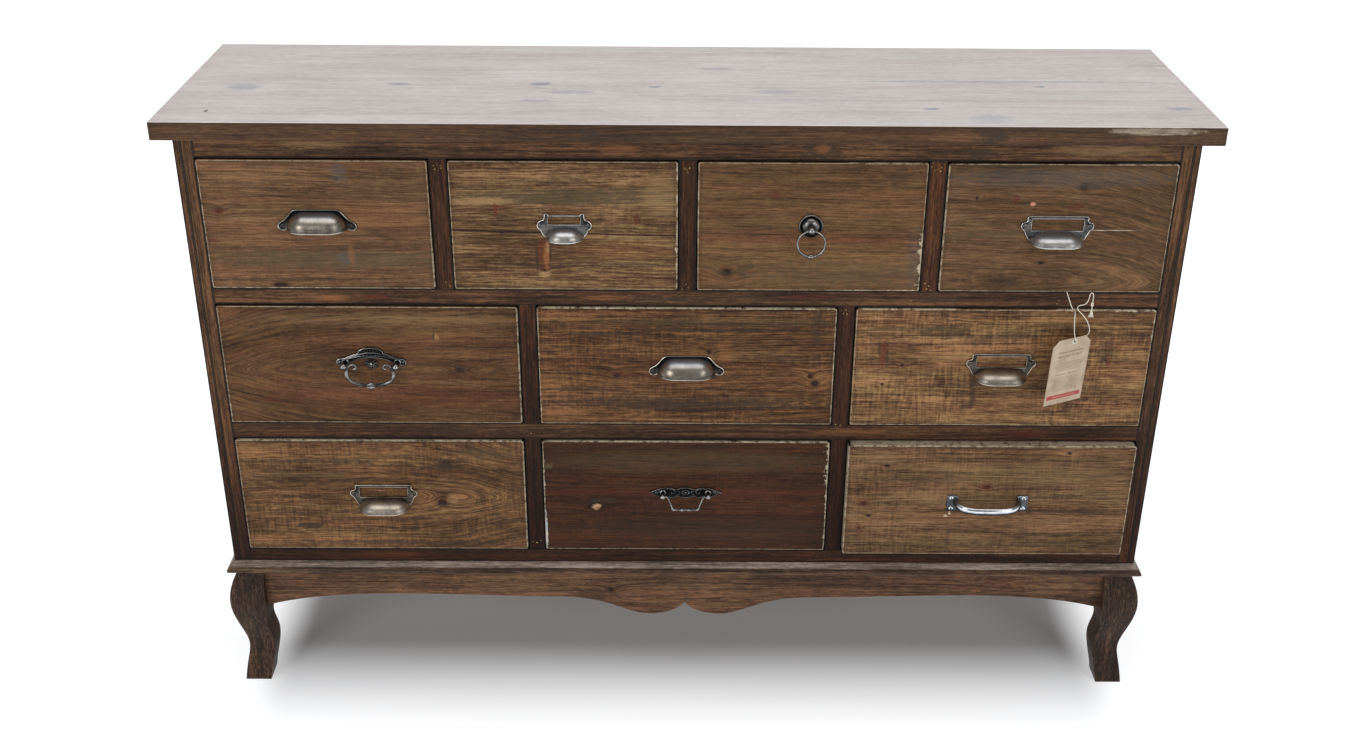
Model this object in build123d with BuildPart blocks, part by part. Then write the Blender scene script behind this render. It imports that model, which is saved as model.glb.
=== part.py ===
"""A floor-standing chest of ten drawers on four cabriole legs, in millimetres.

The front faces -Y and +Z is up. The origin is at the bottom centre of the whole chest, with its
handles. Drawers are numbered from the left, row by row from the top: 1 to 4, 5 to 7 and 8 to 10.
"""
from build123d import *
from math import cos, pi, radians, sin, tan
import os

os.makedirs("parts", exist_ok=True)

# Top
top_length = 1200
top_board_depths = (62, 120, 80, 60)
top_thickness = 22
top_edge_round = 1.5
overhang_front = 19
overhang_side = 19
overhang_back = 4

# Heights of the carcass members, from the floor up
leg_height = 171.5
base_frame_thickness = 15.5
bottom_rail_height = 19.2
lower_row_opening = 162.5
lower_rail_height = 21.6
middle_row_opening = 160.3
upper_rail_height = 20
upper_row_opening = 161.8
top_rail_height = 25.6

# How many drawers share the width in each row
upper_row_count = 4
middle_row_count = 3
lower_row_count = 3

# Carcass boards
side_panel_thickness = 8
post_width = 13.5
post_depth = 30
rail_depth = 30
rear_rail_depth = 20
muntin_width = 20
back_board_thickness = 6
back_board_count = 8
runner_thickness = 12
runner_bearing_width = 24
guide_height = 18

# Base
moulding_projection = 9.5
moulding_lip_height = 7.5
moulding_round = 2.5
moulding_swell = 0.8
base_member_width = 50
apron_thickness = 16
apron_recess = 2
apron_height = 41
apron_end_height = 56
apron_lobe_height = 67
apron_cusp_height = 49
apron_lobe_offset = 37
apron_lobe_reach = 165
apron_cusp_slope = 0.7
apron_end_slope = 0.3
side_apron_curve = 70
leg_block_length = 32
leg_block_height = 30

# Cabriole legs, as distances out from and in from the carcass sides
leg_top_inset = 2
leg_shoulder_slope = 0.6
leg_foot_slope = 0.12
leg_knee_reach = 10.5
leg_knee_drop = 48
leg_ankle_inset = 2.5
leg_ankle_height = 56
leg_foot_reach = 6
leg_inner_width = 35
leg_inner_straight = 58
leg_throat_width = 32
leg_throat_height = 90
leg_calf_width = 35.5
leg_calf_height = 63
leg_foot_inner = 27.5
rear_leg_depth = 34

# Drawers
drawer_gap = 1.5
drawer_proud = 3
drawer_front_thickness = 20
drawer_front_round = 1.5
drawer_side_height = 120
drawer_side_thickness = 10
drawer_back_thickness = 10
drawer_bottom_thickness = 5
drawer_bottom_rise = 6
drawer_box_length = 250
drawer_running_gap = 0.4
drawer_10_ajar = 8
drawer_2_lower_board = 71
pull_rises = (-0.5, 2, 2.5, 4, 5.5, -5, 7.5, 3.5, 6.5, -2.5)

# Fasteners of the pulls
screw_radius = 1.5
screw_head_radius = 2.7
screw_head_height = 1.2
screw_length = 15
screw_hole_gap = 0.08
stud_radius = 2
stud_inner_length = 5
nut_radius = 4.2
nut_thickness = 3.2
plate_thickness = 1.8

# Plain cup pull
cup_half_width = 36
cup_flat_half = 22
cup_height = 20.5
cup_wall = 1.6
cup_lip_drop = 2
cup_screw_spacing = 80
cup_ear_radius = 5.8
cup_flange_half_top = 27
cup_flange_rise = 20.7
cup_flange_shoulder = 5

# Cup pull with a label frame, and its small eared kind
label_screw_spacing = 74
label_ear_radius = 5.2
label_top_rise = 12.6
label_top_half = 35
label_window_half = 30
label_window_low = -5.2
label_window_high = 9
label_cup_half = 31
label_cup_flat_half = 15
label_cup_rise = 12
label_cup_depth = 23
label_lip_drop = 18.5
small_screw_spacing = 56
small_ear_radius = 4
small_top_rise = 13.2
small_top_half = 22.5
small_window_half = 19
small_window_low = 1
small_window_high = 11.4
small_cup_half = 21
small_cup_flat_half = 9
small_cup_rise = 10
small_cup_depth = 16
small_lip_drop = 15.5

# Ring pull
rosette_radius = 14.2
rosette_rim = 2.2
rosette_step_radius = 10
rosette_dome_height = 6.5
ring_neck_radius = 3
ring_ball_radius = 4.6
ring_ball_reach = 15.5
ring_mean_radius = 16
ring_wire_radius = 1.2
ring_bead_radius = 3
ring_hole_radius = 2.3

# Swinging bails
bail_post_radius = 2.6
bail_pin_gap = 0.06
bail_pin_recess = 1
swag_post_spacing = 63
swag_post_reach = 14
swag_ball_radius = 4.2
swag_plate_half = 42
swag_ear_radius = 4.6
swag_crest_half = 14
swag_crest_rise = 19
swag_shoulder_rise = 9
swag_bail_drop = 25
swag_bail_half = 28
swag_bail_flat_half = 15
swag_shoulder_slope = 2
swag_neck = 3
swag_wire_radius = 1.7
swag_bend_radius = 2
thin_post_spacing = 57
thin_post_reach = 12
thin_ball_radius = 3.4
thin_plate_half = 46
thin_plate_half_height = 7.5
thin_plate_scallop = 2
thin_bail_drop = 19
thin_bail_flat_half = 16
thin_neck = 1.5
thin_wire_radius = 1.1
thin_bend_radius = 1.6
thin_bead_radius = 2.6
thin_bead_offset = 4.5

# Fixed handle with two end plates
handle_half_length = 51
handle_plate_width = 14
handle_plate_height = 23
handle_grip_height = 9
handle_grip_thickness = 5.5
handle_reach = 24
handle_foot_outer = 42
handle_foot_inner = 35
handle_foot_depth = 0.9
handle_screw_rise = 7.2

# Swing tag on drawer 7: a card on a thin string that is caught over the drawer front
tag_offset = 82
tag_width = 55
tag_length = 89
tag_thickness = 0.5
tag_corner_cut = 8.5
tag_hole_drop = 4.8
tag_hole_offset = 3.6
tag_turn = 25
tag_tilt = 3.3
tag_eyelet_radius = 3.2
tag_eyelet_flange = 0.25
tag_barrel_radius = 1.8
tag_bore_radius = 1.2
string_diameter = 1
string_bend_share = 0.45

# Points to the right of, above and in front of the spot on the drawer's top edge
tag_hang_point = (-0.8, -33.4, 15.9)
string_points = (
    (-1.5, 0.56, -5),
    (-1.8, 1, 5),
    (-2.7, -8.6, 9),
    (-2.9, -17.2, 13.6),
    (-3, -25.2, 18.8),
    (0.3, -33.3, 18.4),
    (-2, -33.4, 13.2),
    (1.6, -34.6, 9.6),
    (8.6, -35.6, 6.6),
    (15.6, -33, 4.4),
    (18.3, -26.2, 5),
    (16.6, -18.6, 6.8),
    (12.8, -10.6, 7.6),
    (7.4, -3.8, 7.2),
    (2, 1.6, 7.2),
    (-1, 5.2, 6.4),
    (1.9, 8.2, 4.7),
    (8.4, 9.4, 6.1),
    (11.5, 15.4, 6.8),
    (12.3, 21.5, 6.6),
    (13.2, 25, 6.4),
    (16.4, 24.6, 6.2),
    (17, 19, 6.3),
    (16.5, 11.5, 6.6),
    (16.6, 4, 6.7),
    (18, -3.2, 6.5),
)
string_end_points = (
    (-3.6, 0.56, -2.2),
    (-4.6, 1.6, 4.6),
    (-8, 8, 6),
    (-11.7, 16.8, 6.6),
    (-15, 25.4, 6.1),
)

# Overall places that follow from the sizes above
top_depth = sum(top_board_depths)
carcass_width = top_length - 2 * overhang_side
carcass_depth = top_depth - overhang_front - overhang_back
half_width = carcass_width / 2
inner_half = half_width - side_panel_thickness
opening_half = inner_half - post_width

z_base_top = leg_height + base_frame_thickness
z_row_3 = z_base_top + bottom_rail_height
z_lower_rail = z_row_3 + lower_row_opening
z_row_2 = z_lower_rail + lower_rail_height
z_upper_rail = z_row_2 + middle_row_opening
z_row_1 = z_upper_rail + upper_rail_height
z_top_rail = z_row_1 + upper_row_opening
z_carcass_top = z_top_rail + top_rail_height
overall_height = z_carcass_top + top_thickness

pull_reaches = (
    cup_height,
    label_cup_depth,
    ring_ball_reach + ring_ball_radius,
    swag_post_reach + swag_ball_radius,
    thin_post_reach + thin_ball_radius,
    handle_reach + drawer_10_ajar,
)
front_reach = max(0, max(pull_reaches) + drawer_proud - overhang_front)
y_top_front = -(top_depth + front_reach) / 2 + front_reach
y_face = y_top_front + overhang_front
y_back = y_face + carcass_depth
y_back_inner = y_back - back_board_thickness
y_rear_rail = y_back_inner - rear_rail_depth
y_rail_back = y_face + rail_depth
y_post_back = y_face + post_depth
y_rear_post = y_back_inner - post_depth

written = []


def save(name, pieces):
    """Labels one node, made of one or more solids, and writes it."""
    node = pieces[0] if len(pieces) == 1 else Compound(pieces)
    node.label = name
    export_step(node, f"parts/{name}.step")
    written.append(name)


def board(x_from, x_to, y_from, y_to, z_from, z_to):
    """A plain board between six flat faces."""
    with BuildPart() as piece:
        with BuildSketch(Plane.XY.offset(z_from)):
            with Locations(((x_from + x_to) / 2, (y_from + y_to) / 2)):
                Rectangle(x_to - x_from, y_to - y_from)
        extrude(amount=z_to - z_from)
    return piece.part


def front_plane(y):
    """An upright plane at the given depth, X to the right, Z up, facing forward."""
    return Plane(origin=(0, y, 0), x_dir=(1, 0, 0), z_dir=(0, -1, 0))


def side_plane(x):
    """An upright plane at the given width, Y to its right, Z up, facing +X."""
    return Plane(origin=(x, 0, 0), x_dir=(0, 1, 0), z_dir=(1, 0, 0))


# Top boards, jointed edge to edge
top_boards = []
y_seam = y_top_front
for index, depth in enumerate(top_board_depths):
    with BuildPart() as top_board:
        with BuildSketch(Plane.XY.offset(z_carcass_top)):
            with Locations((0, y_seam + depth / 2)):
                Rectangle(top_length, depth)
        extrude(amount=top_thickness)
        end_edges = top_board.edges().filter_by(Axis.Y)
        long_edges = top_board.edges().filter_by(Axis.X).sort_by(Axis.Y)
        outer_edges = []
        if index == 0:
            outer_edges = long_edges[:2]
        if index == len(top_board_depths) - 1:
            outer_edges = long_edges[-2:]
        fillet(list(end_edges) + list(outer_edges), top_edge_round)
    top_boards.append(top_board.part)
    y_seam += depth
save("top_boards", top_boards)

# Sides and posts
for side, sign in (("left", -1), ("right", 1)):
    outer = sorted((sign * inner_half, sign * half_width))
    inner = sorted((sign * opening_half, sign * inner_half))
    save(f"side_panel_{side}", [board(*outer, y_face, y_back, z_base_top, z_carcass_top)])
    save(f"front_post_{side}", [board(*inner, y_face, y_post_back, z_base_top, z_carcass_top)])
rear_frame = []
for sign in (-1, 1):
    inner = sorted((sign * opening_half, sign * inner_half))
    rear_frame.append(board(*inner, y_rear_post, y_back_inner, z_base_top, z_carcass_top))

# Front rails, and the rear rails level with them
rail_levels = {
    "top": (z_top_rail, z_carcass_top),
    "upper": (z_upper_rail, z_row_1),
    "lower": (z_lower_rail, z_row_2),
    "bottom": (z_base_top, z_row_3),
}
for name, (z_from, z_to) in rail_levels.items():
    rail = board(-opening_half, opening_half, y_face, y_rail_back, z_from, z_to)
    save(f"front_rail_{name}", [rail])
    rear_frame.append(board(-opening_half, opening_half, y_rear_rail, y_back_inner, z_from, z_to))
save("rear_frame", rear_frame)

# Rows of drawers: opening bottom, opening top and how many drawers share the width
rows = (
    (z_row_1, z_top_rail, upper_row_count),
    (z_row_2, z_upper_rail, middle_row_count),
    (z_row_3, z_lower_rail, lower_row_count),
)


def muntin_centres(count):
    """The middles of the uprights that part a row into equal openings."""
    opening = (2 * opening_half - (count - 1) * muntin_width) / count
    step = opening + muntin_width
    return [-opening_half + opening + muntin_width / 2 + step * i for i in range(count - 1)]


muntins = []
runners = []
guides = []
for z_bottom, z_top, count in rows:
    z_runner = z_bottom - runner_thickness
    z_guide = z_bottom + guide_height
    for x in muntin_centres(count):
        x_from = x - muntin_width / 2
        x_to = x + muntin_width / 2
        muntins.append(board(x_from, x_to, y_face, y_rail_back, z_bottom, z_top))
        x_left = x_from - runner_bearing_width
        x_right = x_to + runner_bearing_width
        runners.append(board(x_left, x_right, y_rail_back, y_rear_rail, z_runner, z_bottom))
        guides.append(board(x_from, x_to, y_rail_back, y_back_inner, z_bottom, z_guide))
    for sign in (-1, 1):
        bearing = sorted((sign * (opening_half - runner_bearing_width), sign * opening_half))
        packing = sorted((sign * opening_half, sign * inner_half))
        runners.append(board(*bearing, y_rail_back, y_rear_rail, z_runner, z_bottom))
        guides.append(board(*packing, y_post_back, y_rear_post, z_runner, z_guide))
save("muntins", muntins)
save("drawer_runners", runners)
save("drawer_guides", guides)

# Back boards, upright, and the panel that closes the carcass below
back_boards = []
back_board_width = 2 * inner_half / back_board_count
for i in range(back_board_count):
    x_from = -inner_half + i * back_board_width
    x_to = x_from + back_board_width
    back_boards.append(board(x_from, x_to, y_back_inner, y_back, z_base_top, z_carcass_top))
save("back_boards", back_boards)
z_bottom_panel = z_row_3 - runner_thickness
save(
    "bottom_panel",
    [board(-opening_half, opening_half, y_rail_back, y_rear_rail, z_base_top, z_bottom_panel)],
)


def moulding_section(plane, outer, sign):
    """The moulded member's section: a rounded lip and a swelling slope up to the carcass."""
    z_nose = leg_height + moulding_lip_height
    lip_line = outer - sign * moulding_round
    carcass_line = outer - sign * moulding_projection
    inner = outer - sign * base_member_width
    with BuildSketch(plane) as section:
        with BuildLine():
            Line((inner, leg_height), (lip_line, leg_height))
            ThreePointArc(
                (lip_line, leg_height),
                (outer, leg_height + moulding_lip_height / 2),
                (lip_line, z_nose),
            )
            ThreePointArc(
                (lip_line, z_nose),
                (
                    (lip_line + carcass_line) / 2 + sign * moulding_swell,
                    (z_nose + z_base_top) / 2 + moulding_swell,
                ),
                (carcass_line, z_base_top),
            )
            Line((carcass_line, z_base_top), (inner, z_base_top))
            Line((inner, z_base_top), (inner, leg_height))
        make_face()
    return section.sketch


# Base frame: moulded at the front and the sides, plain at the back, with mitred corners
base_half = half_width + moulding_projection
y_base_front = y_face - moulding_projection
base_members = []
with BuildPart() as base_front:
    extrude(moulding_section(side_plane(-base_half), y_base_front, -1), amount=2 * base_half)
    with BuildSketch(Plane.XY.offset(leg_height)):
        with BuildLine():
            Polyline(
                (-base_half, y_base_front),
                (base_half, y_base_front),
                (base_half - base_member_width, y_base_front + base_member_width),
                (-base_half + base_member_width, y_base_front + base_member_width),
                close=True,
            )
        make_face()
    extrude(amount=base_frame_thickness, mode=Mode.INTERSECT)
base_members.append(base_front.part)
for sign in (-1, 1):
    with BuildPart() as base_side:
        side_section = moulding_section(front_plane(y_back), sign * base_half, sign)
        extrude(side_section, amount=y_back - y_base_front)
        with BuildSketch(Plane.XY.offset(leg_height)):
            with BuildLine():
                Polyline(
                    (sign * base_half, y_base_front),
                    (sign * base_half, y_back),
                    (sign * (base_half - base_member_width), y_back),
                    (sign * (base_half - base_member_width), y_base_front + base_member_width),
                    close=True,
                )
            make_face()
        extrude(amount=base_frame_thickness, mode=Mode.INTERSECT)
    base_members.append(base_side.part)
back_half = base_half - base_member_width
base_members.append(
    board(-back_half, back_half, y_back - base_member_width, y_back, leg_height, z_base_top)
)
save("base_frame", base_members)


def leg_outline(plane, outer_at, inward):
    """The S-shaped side of a leg: outer_at is the carcass line, inward points to the middle."""
    z_knee = leg_height - leg_knee_drop
    z_straight = leg_height - leg_inner_straight
    with BuildSketch(plane) as outline:
        with BuildLine():
            Spline(
                (outer_at + inward * leg_top_inset, leg_height),
                (outer_at - inward * leg_knee_reach, z_knee),
                (outer_at + inward * leg_ankle_inset, leg_ankle_height),
                (outer_at - inward * leg_foot_reach, 0),
                tangents=((-inward * leg_shoulder_slope, -1), (-inward * leg_foot_slope, -1)),
            )
            Line((outer_at - inward * leg_foot_reach, 0), (outer_at + inward * leg_foot_inner, 0))
            Spline(
                (outer_at + inward * leg_foot_inner, 0),
                (outer_at + inward * leg_calf_width, leg_calf_height),
                (outer_at + inward * leg_throat_width, leg_throat_height),
                (outer_at + inward * leg_inner_width, z_straight),
                tangents=((inward * leg_foot_slope, 1), (0, 1)),
            )
            Line(
                (outer_at + inward * leg_inner_width, z_straight),
                (outer_at + inward * leg_inner_width, leg_height),
            )
            Line(
                (outer_at + inward * leg_inner_width, leg_height),
                (outer_at + inward * leg_top_inset, leg_height),
            )
        make_face()
    return outline.sketch


# Legs: the front pair sweeps forward and sideways, the rear pair only sideways
leg_span = leg_knee_reach + leg_inner_width + leg_top_inset
y_rear_leg = y_back - leg_top_inset - rear_leg_depth
for side, sign in (("left", -1), ("right", 1)):
    with BuildPart() as front_leg:
        seen_from_front = leg_outline(front_plane(y_face + leg_span), sign * half_width, -sign)
        extrude(seen_from_front, amount=2 * leg_span)
        seen_from_side = leg_outline(side_plane(sign * half_width - leg_span), y_face, 1)
        extrude(seen_from_side, amount=2 * leg_span, mode=Mode.INTERSECT)
    save(f"leg_front_{side}", [front_leg.part])
    with BuildPart() as rear_leg:
        rear_plane = front_plane(y_rear_leg + rear_leg_depth)
        extrude(leg_outline(rear_plane, sign * half_width, -sign), amount=rear_leg_depth)
    save(f"leg_rear_{side}", [rear_leg.part])

# Aprons between the legs
apron_half = half_width - leg_inner_width
y_apron = y_face + apron_recess
y_apron_back = y_apron + apron_thickness
z_apron_straight = leg_height - apron_height
with BuildPart() as front_apron:
    with BuildSketch(front_plane(y_apron_back)):
        with BuildLine():
            for sign in (-1, 1):
                Spline(
                    (0, leg_height - apron_cusp_height),
                    (sign * apron_lobe_offset, leg_height - apron_lobe_height),
                    (sign * apron_lobe_reach, z_apron_straight),
                    tangents=((sign * apron_cusp_slope, -1), (sign, 0)),
                )
                Spline(
                    (sign * apron_lobe_reach, z_apron_straight),
                    (sign * apron_half, leg_height - apron_end_height),
                    tangents=((sign, 0), (sign, -apron_end_slope)),
                )
                Line((sign * apron_half, leg_height - apron_end_height), (sign * apron_half, leg_height))
            Line((-apron_half, leg_height), (apron_half, leg_height))
        make_face()
    extrude(amount=apron_thickness)
save("apron_front", [front_apron.part])

y_side_apron = y_face + leg_inner_width
for side, sign in (("left", -1), ("right", 1)):
    x_outer = sign * (half_width - apron_recess)
    with BuildPart() as side_apron:
        with BuildSketch(side_plane(min(x_outer, x_outer - sign * apron_thickness))):
            with BuildLine():
                Line((y_side_apron, leg_height), (y_rear_leg, leg_height))
                Line((y_rear_leg, leg_height), (y_rear_leg, leg_height - apron_end_height))
                Spline(
                    (y_rear_leg, leg_height - apron_end_height),
                    (y_rear_leg - side_apron_curve, z_apron_straight),
                    tangents=((-1, apron_end_slope), (-1, 0)),
                )
                Line(
                    (y_rear_leg - side_apron_curve, z_apron_straight),
                    (y_side_apron + side_apron_curve, z_apron_straight),
                )
                Spline(
                    (y_side_apron + side_apron_curve, z_apron_straight),
                    (y_side_apron, leg_height - apron_end_height),
                    tangents=((-1, 0), (-1, -apron_end_slope)),
                )
                Line((y_side_apron, leg_height - apron_end_height), (y_side_apron, leg_height))
            make_face()
        extrude(amount=apron_thickness)
    save(f"apron_{side}", [side_apron.part])
y_rear_apron = y_back - leg_top_inset - apron_thickness
save(
    "apron_rear",
    [board(-apron_half, apron_half, y_rear_apron, y_rear_apron + apron_thickness,
           z_apron_straight, leg_height)],
)

# Glue blocks in the corners between legs and aprons
leg_blocks = []
z_block = leg_height - leg_block_height
for sign in (-1, 1):
    along = sorted((sign * apron_half, sign * (apron_half - leg_block_length)))
    leg_blocks.append(board(*along, y_apron_back, y_side_apron, z_block, leg_height))
    leg_blocks.append(board(*along, y_rear_leg, y_rear_apron, z_block, leg_height))
save("leg_blocks", leg_blocks)


# Drawers
class Drawer:
    """One drawer's opening and the faces of its front."""

    def __init__(self, number, x_from, x_to, z_bottom, z_top):
        ajar = drawer_10_ajar if number == 10 else 0
        self.number = number
        self.x_from = x_from + drawer_gap
        self.x_to = x_to - drawer_gap
        self.z_from = z_bottom + drawer_gap
        self.z_to = z_top - drawer_gap
        self.z_runner = z_bottom + drawer_running_gap
        self.y_front = y_face - drawer_proud - ajar
        self.y_inside = self.y_front + drawer_front_thickness
        self.x_mid = (x_from + x_to) / 2
        self.z_pull = (z_bottom + z_top) / 2 + pull_rises[number - 1]

    def plane(self):
        """The plane of the front's outer face, with its origin where the pull is centred."""
        origin = (self.x_mid, self.y_front, self.z_pull)
        return Plane(origin=origin, x_dir=(1, 0, 0), z_dir=(0, -1, 0))


drawers = []
for z_bottom, z_top, count in rows:
    opening = (2 * opening_half - (count - 1) * muntin_width) / count
    for i in range(count):
        x_from = -opening_half + i * (opening + muntin_width)
        drawers.append(Drawer(len(drawers) + 1, x_from, x_from + opening, z_bottom, z_top))


def drawer_front(drawer, holes, seams=()):
    """The front's boards, rounded on the outside, with (x, z, radius, depth) holes."""
    levels = [drawer.z_from, *seams, drawer.z_to]
    boards = []
    for z_from, z_to in zip(levels[:-1], levels[1:]):
        with BuildPart() as front:
            with BuildSketch(front_plane(drawer.y_inside)):
                with Locations((drawer.x_mid, (z_from + z_to) / 2)):
                    Rectangle(drawer.x_to - drawer.x_from, z_to - z_from)
            extrude(amount=drawer_front_thickness)
            outer_face = front.faces().sort_by(Axis.Y)[0]
            rounded = [
                e for e in outer_face.edges()
                if min(abs(e.center().Z - s) for s in (*seams, -1)) > drawer_front_round
            ]
            fillet(rounded, drawer_front_round)
            for x, z, radius, depth in holes:
                if z_from < z < z_to:
                    with BuildSketch(front_plane(drawer.y_front)):
                        with Locations((x, z)):
                            Circle(radius)
                    extrude(amount=-depth, mode=Mode.SUBTRACT)
        boards.append(front.part)
    return boards


def drawer_box(drawer):
    """The sides, the back and the bottom behind a drawer front."""
    y_end = drawer.y_inside + drawer_box_length
    z_from = drawer.z_runner
    z_to = z_from + drawer_side_height
    x_left = drawer.x_from + drawer_side_thickness
    x_right = drawer.x_to - drawer_side_thickness
    y_back_face = y_end - drawer_back_thickness
    z_bottom = z_from + drawer_bottom_rise
    return [
        board(drawer.x_from, x_left, drawer.y_inside, y_end, z_from, z_to),
        board(x_right, drawer.x_to, drawer.y_inside, y_end, z_from, z_to),
        board(x_left, x_right, y_back_face, y_end, z_from, z_to),
        board(x_left, x_right, drawer.y_inside, y_back_face, z_bottom,
              z_bottom + drawer_bottom_thickness),
    ]


def screw(place, x, rise, seat):
    """A round-headed screw driven in at a point of a pull, its head on the seat."""
    with BuildPart() as piece:
        with BuildSketch(place.offset(seat)):
            with Locations((x, rise)):
                Circle(screw_head_radius)
        extrude(amount=screw_head_height)
        fillet(piece.edges().sort_by(Axis.Y)[0], screw_head_height / 2)
        with BuildSketch(place.offset(seat)):
            with Locations((x, rise)):
                Circle(screw_radius)
        extrude(amount=-screw_length)
    return piece.part


def screw_holes(drawer, points):
    """Pilot holes in a drawer front for screws at points given from the pull's middle."""
    radius = screw_radius + screw_hole_gap
    depth = screw_length - plate_thickness + screw_hole_gap
    return [(drawer.x_mid + x, drawer.z_pull + z, radius, depth) for x, z in points]


def stud_holes(drawer, points):
    """Holes right through a drawer front for threaded studs."""
    radius = stud_radius + screw_hole_gap
    return [
        (drawer.x_mid + x, drawer.z_pull + z, radius, drawer_front_thickness) for x, z in points
    ]


def nut(place, x, rise):
    """A hexagonal nut on a stud, against the inside of the drawer front."""
    with BuildPart() as piece:
        with BuildSketch(place.offset(-drawer_front_thickness)):
            with Locations((x, rise)):
                RegularPolygon(nut_radius, 6)
                Circle(stud_radius + screw_hole_gap, mode=Mode.SUBTRACT)
        extrude(amount=-nut_thickness)
    return piece.part


def cup_dome(place, half, flat_half, height, depth, base):
    """A quarter-round dome: its outline swung from the plate out to the lip, then deepened."""
    end_width = half - flat_half
    x, y, z = place.origin
    lip_axis = Axis((x, y, z + base), (1, 0, 0))
    with BuildPart() as dome:
        with BuildSketch(place):
            with BuildLine():
                Line((-half, base), (half, base))
                EllipticalCenterArc((flat_half, base), end_width, height, 0, arc_size=90)
                Line((flat_half, base + height), (-flat_half, base + height))
                EllipticalCenterArc((-flat_half, base), end_width, height, 90, arc_size=90)
            make_face()
        revolve(axis=lip_axis, revolution_arc=90)
    return scale(dome.part, by=(1, depth / height, 1), about=(x, y, z))


def plate_with_cup(place, corners, ear_radius, screw_points, cup, window=None):
    """A pressed plate with screw ears, a hollow cup and perhaps a window for a label."""
    half, flat_half, height, depth, base = cup
    outer = cup_dome(place, half, flat_half, height, depth, base)
    inner = cup_dome(place, half - cup_wall, flat_half, height - cup_wall, depth - cup_wall, base)
    with BuildPart() as pull:
        with BuildSketch(place):
            Polygon(*corners, align=None)
            with Locations(*screw_points):
                Circle(ear_radius)
                Circle(screw_radius + screw_hole_gap, mode=Mode.SUBTRACT)
            if window:
                low, high, window_half = window
                with Locations((0, (low + high) / 2)):
                    Rectangle(2 * window_half, high - low, mode=Mode.SUBTRACT)
        extrude(amount=plate_thickness)
        add(outer)
        add(inner, mode=Mode.SUBTRACT)
    return pull.part


def plain_cup_pull(drawer):
    """The cup with a shouldered flange and two ears."""
    place = drawer.plane()
    ear_x = cup_screw_spacing / 2
    points = [(-ear_x, 0), (ear_x, 0)]
    corners = [
        (-ear_x, -cup_ear_radius),
        (-ear_x, cup_flange_shoulder),
        (-cup_flange_half_top, cup_flange_rise),
        (cup_flange_half_top, cup_flange_rise),
        (ear_x, cup_flange_shoulder),
        (ear_x, -cup_ear_radius),
        (cup_half_width, -cup_lip_drop),
        (-cup_half_width, -cup_lip_drop),
    ]
    cup = (cup_half_width, cup_flat_half, cup_height, cup_height, -cup_lip_drop)
    pull = plate_with_cup(place, corners, cup_ear_radius, points, cup)
    screws = [screw(place, x, z, plate_thickness) for x, z in points]
    save(f"drawer_{drawer.number}_pull", [pull, *screws])
    return screw_holes(drawer, points)


def label_cup_pull(drawer, small=False):
    """The cup with a label frame above it."""
    place = drawer.plane()
    if small:
        spacing, ear, rise, top_half = (
            small_screw_spacing, small_ear_radius, small_top_rise, small_top_half)
        window = (small_window_low, small_window_high, small_window_half)
        cup = (small_cup_half, small_cup_flat_half, small_cup_rise, small_cup_depth, -small_lip_drop)
        lip = small_lip_drop
    else:
        spacing, ear, rise, top_half = (
            label_screw_spacing, label_ear_radius, label_top_rise, label_top_half)
        window = (label_window_low, label_window_high, label_window_half)
        cup = (label_cup_half, label_cup_flat_half, label_cup_rise, label_cup_depth, -label_lip_drop)
        lip = label_lip_drop
    ear_x = spacing / 2
    points = [(-ear_x, 0), (ear_x, 0)]
    corners = [
        (-cup[0], -lip),
        (-ear_x - ear / 2, -ear),
        (-ear_x, ear),
        (-top_half, rise),
        (top_half, rise),
        (ear_x, ear),
        (ear_x + ear / 2, -ear),
        (cup[0], -lip),
    ]
    pull = plate_with_cup(place, corners, ear, points, cup, window)
    screws = [screw(place, x, z, plate_thickness) for x, z in points]
    save(f"drawer_{drawer.number}_pull", [pull, *screws])
    return screw_holes(drawer, points)


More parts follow.
